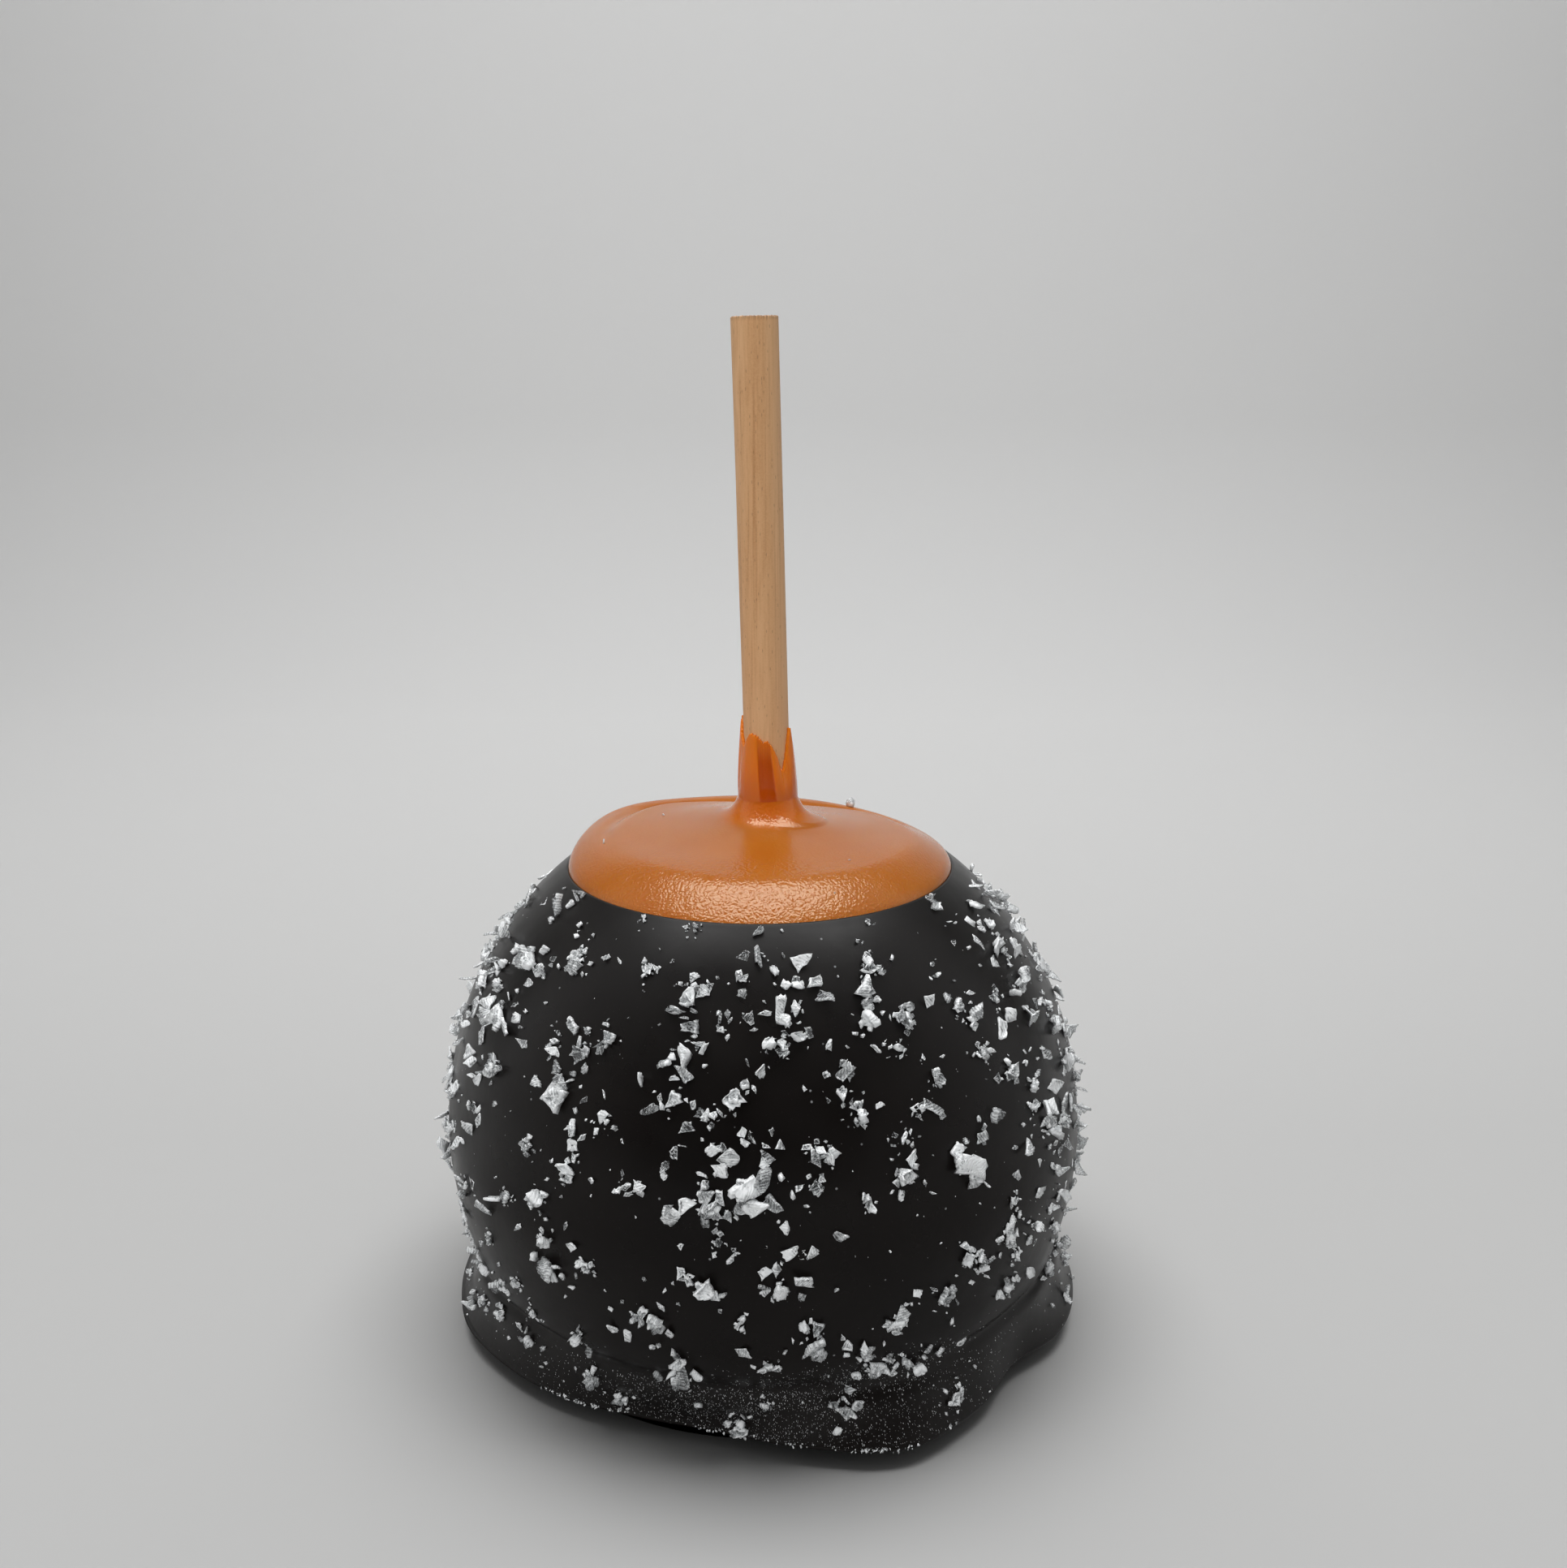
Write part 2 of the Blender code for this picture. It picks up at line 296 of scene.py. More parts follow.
class Effect(Enum):
    """A pattern that more than one material uses, built once as a node group."""

    MOTTLE = "soft mottle"
    SPECKLE = "scattered specks"
    PEBBLE = "pebbled skin"
    STREAK = "upright streaks"

    def tree(self) -> bpy.types.NodeTree:
        """The effect's node group, made the first time that it is asked for."""
        if self.value in bpy.data.node_groups:
            return bpy.data.node_groups[self.value]
        makers = {
            Effect.MOTTLE: make_mottle,
            Effect.SPECKLE: make_speckle,
            Effect.PEBBLE: make_pebble,
            Effect.STREAK: make_streak,
        }
        return makers[self](self.value)


def open_group(name: str, numbers: Mapping[str, float], output: str) -> tuple:
    """Starts a node group that takes a vector and named numbers and gives one number.

    Args:
        name: name of the group.
        numbers: the number inputs and their usual values.
        output: name of the output.

    Returns:
        The bench, the group's input node and its output node.
    """
    tree = bpy.data.node_groups.new(name, "ShaderNodeTree")
    tree.interface.new_socket(name="Vector", in_out="INPUT", socket_type="NodeSocketVector")
    for label, usual in numbers.items():
        socket = tree.interface.new_socket(name=label, in_out="INPUT", socket_type="NodeSocketFloat")
        socket.default_value = usual
    tree.interface.new_socket(name=output, in_out="OUTPUT", socket_type="NodeSocketFloat")
    bench = NodeBench(tree)
    return bench, bench.put("NodeGroupInput"), bench.put("NodeGroupOutput")


def make_mottle(name: str) -> bpy.types.NodeTree:
    """Cloudy variation between Low and High: three octaves of noise, stretched to the full range."""
    bench, given, result = open_group(name, {"Scale": 100.0, "Low": 0.0, "High": 1.0}, "Value")
    noise = bench.put(
        "ShaderNodeTexNoise",
        {"Vector": given.outputs["Vector"], "Scale": given.outputs["Scale"], "Detail": 3.0, "Roughness": 0.55},
    )
    value = bench.remap(noise.outputs[0], 0.3, 0.7, given.outputs["Low"], given.outputs["High"])
    bench.feed(result.inputs["Value"], value)
    return bench.tree


def make_speckle(name: str) -> bpy.types.NodeTree:
    """Round specks: 1 within Radius of a cell's point, for the given Share of the cells."""
    bench, given, result = open_group(name, {"Scale": 1000.0, "Radius": 0.2, "Share": 0.5}, "Mask")
    cells = bench.put(
        "ShaderNodeTexVoronoi", {"Vector": given.outputs["Vector"], "Scale": given.outputs["Scale"]}
    )
    inner = bench.figure("MULTIPLY", given.outputs["Radius"], 0.6)
    spot = bench.remap(cells.outputs["Distance"], inner, given.outputs["Radius"], 1.0, 0.0)
    lot = bench.put("ShaderNodeSeparateColor", {"Color": cells.outputs["Color"]}).outputs[0]
    kept = bench.figure("LESS_THAN", lot, given.outputs["Share"])
    bench.feed(result.inputs["Mask"], bench.figure("MULTIPLY", spot, kept))
    return bench.tree


def make_pebble(name: str) -> bpy.types.NodeTree:
    """Low rounded pebbles on a skin that set while it flowed: soft cells bent by noise."""
    bench, given, result = open_group(name, {"Scale": 1500.0}, "Height")
    bend = bench.put("ShaderNodeTexNoise", {"Vector": given.outputs["Vector"], "Scale": 700.0, "Detail": 2.0})
    shift = bench.put(
        "ShaderNodeVectorMath",
        {0: bend.outputs["Color"], "Scale": 0.0012},
        operation="SCALE",
    )
    place = bench.put("ShaderNodeVectorMath", {0: given.outputs["Vector"], 1: shift.outputs[0]}, operation="ADD")
    cells = bench.put(
        "ShaderNodeTexVoronoi",
        {"Vector": place.outputs[0], "Scale": given.outputs["Scale"], "Smoothness": 0.6},
        feature="SMOOTH_F1",
    )
    bench.feed(result.inputs["Height"], bench.remap(cells.outputs["Distance"], 0.0, 0.8, 1.0, 0.0))
    return bench.tree


def make_streak(name: str) -> bpy.types.NodeTree:
    """Streaks that run upright: noise that is Stretch times as long in height as across."""
    bench, given, result = open_group(name, {"Scale": 2000.0, "Stretch": 20.0, "Detail": 3.0}, "Value")
    rise = bench.figure("DIVIDE", 1.0, given.outputs["Stretch"])
    shape = bench.put("ShaderNodeCombineXYZ", {"X": 1.0, "Y": 1.0, "Z": rise})
    drawn = bench.put(
        "ShaderNodeVectorMath", {0: given.outputs["Vector"], 1: shape.outputs[0]}, operation="MULTIPLY"
    )
    noise = bench.put(
        "ShaderNodeTexNoise",
        {
            "Vector": drawn.outputs[0],
            "Scale": given.outputs["Scale"],
            "Detail": given.outputs["Detail"],
            "Roughness": 0.6,
        },
    )
    bench.feed(result.inputs["Value"], bench.remap(noise.outputs[0], 0.3, 0.7, 0.0, 1.0))
    return bench.tree


def new_material(name: str) -> tuple[bpy.types.Material, NodeBench, bpy.types.Node]:
    """A material with a bare Principled shader, its bench and the shader."""
    material = bpy.data.materials.new(name)
    material.use_nodes = True
    return material, NodeBench(material.node_tree), material.node_tree.nodes["Principled BSDF"]


# ---------------------------------------------------------------- finishes


@dataclass(frozen=True)
class CaramelFinish:
    """Soft caramel: saturated and a little translucent, under a wet shine. Amber where it is thin."""

    colour: Colour = (0.405, 0.110, 0.007)
    pale: Colour = (0.435, 0.138, 0.014)
    thin: Colour = (0.78, 0.200, 0.010)
    # The darker amber of the front flute: partly the groove's deeper caramel, partly a painted dark reflection.
    flute_amber_and_dark_reflection: Colour = (0.50, 0.078, 0.001)
    speck: Colour = (0.10, 0.03, 0.01)
    roughness: float = 0.22
    gloss: float = 0.42
    shine: float = 0.22
    shine_roughness: float = 0.12
    depth: tuple[float, float, float] = (1.0, 0.38, 0.12)
    depth_scale: float = 1.6 * MM
    translucence: float = 0.35

    def make(self) -> bpy.types.Material:
        """Builds the material. It reads the mesh's "thin", "flute", "wet" and "pebbled" numbers; where "flute" is, the
        darker amber is partly the groove's deeper caramel and partly a painted dark reflection.
        """
        material, bench, shader = new_material("soft caramel")
        place = bench.own_coordinates()
        cloud = bench.group(Effect.MOTTLE, Vector=place, Scale=90.0, Low=0.0, High=0.7)
        colour = bench.tint(cloud, self.colour, self.pale)
        colour = bench.tint(bench.painted("thin"), colour, self.thin)
        # Darker amber in the front flute and on the cap just in front of the collar: partly deeper caramel, partly a
        # painted dark reflection.
        colour = bench.tint(bench.painted("flute"), colour, self.flute_amber_and_dark_reflection)
        specks = bench.group(Effect.SPECKLE, Vector=place, Scale=420.0, Radius=0.07, Share=0.05)
        colour = bench.tint(specks, colour, self.speck)
        bubbles = bench.group(Effect.SPECKLE, Vector=place, Scale=330.0, Radius=0.06, Share=0.05)
        pebbles = bench.group(Effect.PEBBLE, Vector=place, Scale=2500.0)
        pebbles = bench.figure("MULTIPLY", pebbles, bench.painted("pebbled"))
        skin_height = bench.group(Effect.MOTTLE, Vector=place, Scale=2600.0, Low=0.0, High=0.10)
        height = bench.figure("ADD", pebbles, skin_height)
        height = bench.figure("ADD", height, bubbles)
        bump = bench.put("ShaderNodeBump", {"Strength": 1.0, "Distance": 0.06 * MM, "Height": height})
        rough = bench.group(
            Effect.MOTTLE, Vector=place, Scale=240.0, Low=self.roughness - 0.02, High=self.roughness + 0.04
        )
        rough = bench.figure("SUBTRACT", rough, bench.figure("MULTIPLY", bench.painted("wet"), 0.14))
        for name, value in {
            "Base Color": colour,
            "Roughness": rough,
            "Normal": bump.outputs[0],
            "Specular IOR Level": self.gloss,
            "Subsurface Weight": self.translucence,
            "Subsurface Radius": self.depth,
            "Subsurface Scale": self.depth_scale,
            "Coat Weight": self.shine,
            "Coat Roughness": self.shine_roughness,
            "Coat Normal": bump.outputs[0],
        }.items():
            bench.feed(shader.inputs[name], value)
        return material


@dataclass(frozen=True)
class ChocolateFinish:
    """Set dark chocolate: nearly black, satin, with a breath of salt dust."""

    colour: Colour = (0.0042, 0.0032, 0.0029)
    worn: Colour = (0.0070, 0.0054, 0.0048)
    dust: Colour = (0.42, 0.43, 0.44)
    roughness: float = 0.30

    def make(self) -> bpy.types.Material:
        """Builds the material. It reads the mesh's "dusty" and "gloss" numbers."""
        material, bench, shader = new_material("dark chocolate")
        place = bench.own_coordinates()
        cloud = bench.group(Effect.MOTTLE, Vector=place, Scale=55.0, Low=0.0, High=1.0)
        colour = bench.tint(cloud, self.colour, self.worn)
        dusty = bench.painted("dusty")
        fine = bench.group(Effect.SPECKLE, Vector=place, Scale=2600.0, Radius=0.22, Share=0.20)
        faint = bench.group(Effect.SPECKLE, Vector=place, Scale=650.0, Radius=0.12, Share=0.10)
        film = bench.group(Effect.STREAK, Vector=place, Scale=2600.0, Stretch=5.0, Detail=2.0)
        film = bench.figure("MULTIPLY", bench.remap(film, 0.55, 1.0, 0.0, 0.03), dusty)
        specks = bench.figure("MULTIPLY", fine, dusty)
        specks = bench.figure("MAXIMUM", specks, bench.figure("MULTIPLY", faint, 0.5))
        specks = bench.figure("MAXIMUM", specks, film)
        colour = bench.tint(specks, colour, self.dust)
        rough = bench.group(
            Effect.MOTTLE, Vector=place, Scale=120.0, Low=self.roughness - 0.05, High=self.roughness + 0.09
        )
        rough = bench.figure("ADD", rough, bench.figure("MULTIPLY", dusty, 0.12))
        soft = bench.group(Effect.MOTTLE, Vector=place, Scale=160.0, Low=0.0, High=1.0)
        grain = bench.group(Effect.MOTTLE, Vector=place, Scale=3800.0, Low=0.0, High=0.08)
        height = bench.figure("ADD", bench.figure("ADD", soft, grain), bench.figure("MULTIPLY", specks, 0.5))
        bump = bench.put("ShaderNodeBump", {"Strength": 0.55, "Distance": 0.04 * MM, "Height": height})
        for name, value in {
            "Base Color": colour,
            "Roughness": rough,
            "Normal": bump.outputs[0],
            "Specular IOR Level": bench.painted("gloss"),
        }.items():
            bench.feed(shader.inputs[name], value)
        return material


@dataclass(frozen=True)
class BirchFinish:
    """Bare sanded birch: fine straight grain, short pores, a darker cut edge."""

    colour: Colour = (0.67, 0.365, 0.168)
    pale: Colour = (0.80, 0.49, 0.26)
    dark: Colour = (0.48, 0.220, 0.078)
    pore: Colour = (0.22, 0.100, 0.038)
    cut: Colour = (0.16, 0.075, 0.030)
    roughness: float = 0.58

    def make(self) -> bpy.types.Material:
        """Builds the material. It reads the mesh's "cut" and "pale" numbers; "pale" lightens a band up the stick's
        side and, lower down, paints a reflection of the pale surroundings.
        """
        material, bench, shader = new_material("birch")
        place = bench.own_coordinates()
        broad = bench.group(Effect.STREAK, Vector=place, Scale=520.0, Stretch=26.0, Detail=2.0)
        fine = bench.group(Effect.STREAK, Vector=place, Scale=2600.0, Stretch=16.0, Detail=3.0)
        lines = bench.group(Effect.STREAK, Vector=place, Scale=1500.0, Stretch=60.0, Detail=1.0)
        colour = bench.tint(bench.remap(broad, 0.25, 0.85, 0.0, 0.6), self.colour, self.pale)
        colour = bench.tint(bench.remap(lines, 0.68, 0.98, 0.0, 0.75), colour, self.dark)
        colour = bench.tint(bench.remap(fine, 0.35, 1.0, 0.0, 0.42), colour, self.dark)
        # Lighter where "pale" says: a band up the side, and lower down a painted reflection of the pale surroundings.
        colour = bench.tint(bench.painted("pale"), colour, self.pale)
        stretch = bench.put("ShaderNodeVectorMath", {0: place, 1: (1.0, 1.0, 0.22)}, operation="MULTIPLY")
        pores = bench.group(Effect.SPECKLE, Vector=stretch.outputs[0], Scale=3800.0, Radius=0.26, Share=0.30)
        glints = bench.group(Effect.MOTTLE, Vector=place, Scale=4200.0, Low=0.0, High=0.35)
        colour = bench.tint(glints, colour, self.pale)
        colour = bench.tint(bench.figure("MULTIPLY", pores, 0.42), colour, self.pore)
        colour = bench.tint(bench.painted("cut"), colour, self.cut)
        height = bench.figure("SUBTRACT", fine, bench.figure("MULTIPLY", pores, 0.8))
        bump = bench.put("ShaderNodeBump", {"Strength": 0.7, "Distance": 0.03 * MM, "Height": height})
        rough = bench.remap(fine, 0.0, 1.0, self.roughness - 0.05, self.roughness + 0.1)
        for name, value in {"Base Color": colour, "Roughness": rough, "Normal": bump.outputs[0]}.items():
            bench.feed(shader.inputs[name], value)
        return material


@dataclass(frozen=True)
class SaltFinish:
    """Cloudy sea salt: white where it is thick or broken, and clear enough to see through where thin."""

    colour: Colour = (0.93, 0.95, 0.96)
    grey: Colour = (0.50, 0.52, 0.53)
    roughness: float = 0.30
    clear: float = 0.12
    band_width: float = 0.36

    def make(self) -> bpy.types.Material:
        """Builds the material. It reads the mesh's "cloudy" and "band" numbers."""
        material, bench, shader = new_material("sea salt")
        place = bench.own_coordinates()
        cloudy = bench.painted("cloudy")
        turns = bench.figure("MULTIPLY", bench.painted("band"), 2.0 * math.pi / self.band_width)
        wobble = bench.group(Effect.MOTTLE, Vector=place, Scale=900.0, Low=0.0, High=5.0)
        bands = bench.figure("SINE", bench.figure("ADD", turns, wobble))
        grain = bench.group(Effect.MOTTLE, Vector=place, Scale=3000.0, Low=-0.10, High=0.10)
        patches = bench.group(Effect.MOTTLE, Vector=place, Scale=1000.0, Low=-0.30, High=0.30)
        density = bench.figure("ADD", grain, bench.figure("ADD", patches, bench.figure("MULTIPLY", bands, 0.15)))
        density = bench.figure("ADD", density, cloudy)
        colour = bench.tint(bench.remap(density, 0.15, 0.85, 0.0, 1.0), self.grey, self.colour)
        alpha = bench.remap(density, 0.10, 0.75, self.clear, 1.0)
        height = bench.figure("ADD", bench.figure("MULTIPLY", bands, 0.5), grain)
        bump = bench.put("ShaderNodeBump", {"Strength": 0.8, "Distance": 0.05 * MM, "Height": height})
        for name, value in {
            "Base Color": colour,
            "Alpha": alpha,
            "Roughness": self.roughness,
            "Normal": bump.outputs[0],
        }.items():
            bench.feed(shader.inputs[name], value)
        return material


# ---------------------------------------------------------------- the apple's own lines


@dataclass(frozen=True)
class Body:
    """The lines that the caramel and the chocolate share: two quarter ovals that meet at the girth."""

    girth_radius: float = 46.2 * MM
    girth_height: float = 30.0 * MM
    upper_height: float = 47.4 * MM
    upper_power: float = 2.02
    lower_height: float = 58.4 * MM
    lower_power: float = 1.75
    lean: float = -0.012
    cap_level: float = 74.35 * MM
    stick_lean: float = -0.0248
    stick_at_cap: float = 0.78 * MM

    def radius(self, height: Array) -> Array:
        """The outside with no foot: R (1 - share^n)^(1/n), share being the rise over the oval's height."""
        rise = np.asarray(height) - self.girth_height
        upper = np.clip(rise / self.upper_height, 0.0, 1.0)
        lower = np.clip(-rise / self.lower_height, 0.0, 1.0)
        above = (1.0 - upper**self.upper_power) ** (1.0 / self.upper_power)
        below = (1.0 - lower**self.lower_power) ** (1.0 / self.lower_power)
        return self.girth_radius * np.where(rise >= 0.0, above, below)

    def axis(self, height: Array) -> Array:
        """How far aside the body's middle is at a height."""
        return self.lean * (np.asarray(height) - self.girth_height)

    def stick_axis(self, height: Array) -> Array:
        """How far aside the stick's middle is at a height."""
        return self.stick_at_cap + self.stick_lean * (np.asarray(height) - self.cap_level)


@dataclass
class Coat:
    """The dark chocolate: a shell from the clean edge round the cap down to the spread foot."""

    body: Body
    columns: int = 400
    edge_height: float = 68.2 * MM
    wall: float = 2.0 * MM
    floor_wall: float = 3.0 * MM
    foot_radius: float = 46.0 * MM
    rim_height: float = 3.0 * MM
    roll_under: float = 3.6 * MM
    under_power: float = 1.9
    flare_height: float = 9.5 * MM
    flare_draw: float = 3.2 * MM
    crease_softness: float = 1.5 * MM
    crease_height: float = 10.8 * MM
    crease_spread: float = 1.8 * MM
    foot_top: float = 15.0 * MM
    lobes: tuple[Swell, ...] = (
        Swell(222.0, -1.9 * MM, 20.0),
        Swell(255.0, -6.2 * MM, 26.0),
        Swell(293.0, 1.4 * MM, 9.0),
        Swell(323.0, -3.2 * MM, 11.0),
        Swell(355.0, 0.7 * MM, 16.0),
        Swell(40.0, -1.5 * MM, 18.0),
        Swell(80.0, 1.0 * MM, 20.0),
        Swell(130.0, -1.8 * MM, 16.0),
        Swell(160.0, 0.6 * MM, 12.0),
    )
    neck_draw: tuple[Swell, ...] = (Swell(255.0, 3.4 * MM, 24.0),)
    overhang: tuple[Swell, ...] = (Swell(272.0, 3.2 * MM, 44.0),)
    crease: tuple[Swell, ...] = (Swell(262.0, 1.0 * MM, 55.0),)
    folds: tuple[Swell, ...] = (Swell(210.0, 0.95 * MM, 28.0), Swell(328.0, 1.0 * MM, 24.0))
    fold_height: float = 12.0 * MM
    fold_spread: float = 1.0 * MM
    flow: Waves = field(default_factory=lambda: Waves(seed=11, count=14, turns=(2, 9), climb=40.0))
    pool: Waves = field(default_factory=lambda: Waves(seed=12, count=16, turns=(5, 22), climb=70.0))

    def outer_radius(self, angles: Array, heights: Array) -> Array:
        """The outside above the rim.

        The skirt draws in from the rim as it climbs: rim + (neck - rim)(1 - exp(-2 rise / flare height)).
        The radius is the larger of skirt and body with the step between them softened, less the crease,
        plus a slight unevenness that is stronger in the pooled foot.
        """
        rim = self.foot_radius + swells(angles, self.lobes)
        drawn = 1.0 - np.exp(-2.0 * (heights - self.rim_height) / self.flare_height)
        neck = self.foot_radius - self.flare_draw - swells(angles, self.neck_draw)
        skirt = rim + (neck - rim) * drawn
        body = self.body.radius(heights)
        softness = self.crease_softness * smooth_step(self.rim_height, self.crease_height, heights)
        softness = softness * (1.0 - smooth_step(self.crease_height, self.foot_top, heights))
        joined = 0.5 * (skirt + body + np.sqrt((skirt - body) ** 2 + softness**2))
        joined = np.where(heights < self.foot_top, joined, body)
        fold = swells(angles, self.crease) * np.exp(-(((heights - self.crease_height) / self.crease_spread) ** 2))
        fold = fold + swells(angles, self.folds) * np.exp(-(((heights - self.fold_height) / self.fold_spread) ** 2))
        pooled = 1.0 - smooth_step(self.crease_height, self.foot_top, heights)
        return joined - fold + self.unevenness(angles, heights, pooled)

    def unevenness(self, angles: Array, heights: Array, pooled: Array) -> Array:
        """How far the coat strays from its plain lines: less than a tenth of a millimetre on the body."""
        fade = 1.0 - smooth_step(self.edge_height - 6.0 * MM, self.edge_height, heights)
        body = 0.045 * MM * self.flow.at(angles, heights) * fade
        return body + 0.09 * MM * self.pool.at(angles, heights) * pooled

    def surface(self, angles: Array, heights: Array) -> Array:
        """Points of the outside above the rim, one for each angle and height."""
        return ring_grid(self.outer_radius(angles, heights), heights, self.body.axis(heights), angles)

    def normals(self, angles: Array, heights: Array) -> tuple[Array, Array, Array]:
        """Which way the outside faces.

        Args:
            angles: directions in radians.
            heights: heights in metres.

        Returns:
            At each place, the unit vector along a ring, the one up the surface, and the outward normal.
        """
        small = 0.2 * MM
        turn = small / self.body.girth_radius
        along = self.surface(angles + turn, heights) - self.surface(angles - turn, heights)
        climb = self.surface(angles, heights + small) - self.surface(angles, heights - small)
        along /= np.linalg.norm(along, axis=-1, keepdims=True)
        out = np.cross(along, climb)
        out /= np.linalg.norm(out, axis=-1, keepdims=True)
        return along, np.cross(out, along), out

    def under_rings(self, shares: Array, angles: Array) -> Array:
        """The undercut below the lip, from the floor at 0 to the rim at 1."""
        rim = self.outer_radius(angles, np.full_like(angles, self.rim_height))
        under = self.roll_under + swells(angles, self.overhang)
        turn = 0.5 * math.pi * shares
        radius = rim - under * (1.0 - np.sin(turn) ** self.under_power)
        height = self.rim_height * (1.0 - np.clip(np.cos(turn), 0.0, 1.0) ** self.under_power)
        return ring_grid(radius, height + 0.0 * angles, 0.0, angles)

    def inner_radius(self, heights: Array) -> Array:
        """The inside of the shell, which is a little thinner than the wall all the way up."""
        rise = heights - self.body.girth_height
        upper = np.clip(rise / (self.body.upper_height - self.wall), 0.0, 1.0)
        lower = np.clip(-rise / (self.body.girth_height - self.floor_wall), 0.0, 1.0)
        above = (1.0 - upper**self.body.upper_power) ** (1.0 / self.body.upper_power)
        below = (1.0 - lower**3.2) ** (1.0 / 3.2)
        return (self.body.girth_radius - self.wall) * np.where(rise >= 0.0, above, below)

    def build(self) -> bpy.types.Object:
        """Makes the shell from the middle of its underside, out, over its edge and down its inside."""
        angles = np.linspace(0.0, 2.0 * math.pi, self.columns, endpoint=False)[None, :]
        floor_radii = np.array([0.3, 0.6, 0.8])[:, None] * self.body.girth_radius
        floor_rings = ring_grid(floor_radii, 0.0 * floor_radii + 0.0 * angles, 0.0, angles)
        under = self.under_rings(np.linspace(0.0, 1.0, 14)[:, None], angles)
        skirt_heights = np.linspace(self.rim_height, self.foot_top, 46)[1:, None]
        side = np.linspace(self.foot_top, self.edge_height - 0.35 * MM, 400)
        body_heights = even_rows(side, self.body.radius(side), 96)[1:, None]
        heights = np.concatenate([skirt_heights, body_heights])
        outside = self.surface(angles, heights)
        top = self.edge_height + 0.0 * angles
        lip_radius = self.body.radius(self.edge_height - 0.1 * MM)
        lip = [(lip_radius, -0.08), (lip_radius - 0.16 * MM, 0.03), (lip_radius - 0.40 * MM, -0.02)]
        lip += [(lip_radius - 0.75 * MM, -0.5)]
        lip_rings = [ring_grid(radius, top + drop * MM, self.body.axis(top), angles) for radius, drop in lip]
        inner = np.linspace(self.edge_height - 1.6 * MM, self.floor_wall, 60)
        inner_heights = even_rows(inner, self.inner_radius(inner), 15)[:-1, None] + 0.0 * angles
        inside = ring_grid(self.inner_radius(inner_heights), inner_heights, self.body.axis(inner_heights), angles)
        rings = np.concatenate([floor_rings, under, outside, *lip_rings, inside])
        piece = skin("chocolate_coat", rings, np.zeros(3), np.array([0.0, 0.0, self.floor_wall]))
        paint(piece, "dusty", with_ends(self.dustiness(rings)))
        paint(piece, "gloss", with_ends(self.glossiness(rings)))
        return piece

    def glossiness(self, rings: Array) -> Array:
        """How glossy each point is: most near the upper edge, least low on the body, more on the foot."""
        height = rings[..., 2]
        dome = smooth_step(46.0 * MM, 66.0 * MM, height)
        waist = smooth_step(46.0 * MM, 32.0 * MM, height) * smooth_step(10.0 * MM, 18.0 * MM, height)
        return 0.26 + 0.07 * dome - 0.14 * waist

    def dustiness(self, rings: Array) -> Array:
        """How much fine salt dust lies at each point: most on the front of the foot, hardly any above."""
        angles = np.arctan2(rings[..., 1], rings[..., 0])
        height = rings[..., 2]
        low = 1.0 - smooth_step(10.0 * MM, 15.0 * MM, height)
        front = swells(angles, (Swell(276.0, 1.0, 30.0),)) * low * smooth_step(0.8 * MM, 2.2 * MM, height)
        return np.clip(0.02 + 0.03 * low + 0.28 * front, 0.0, 1.0)


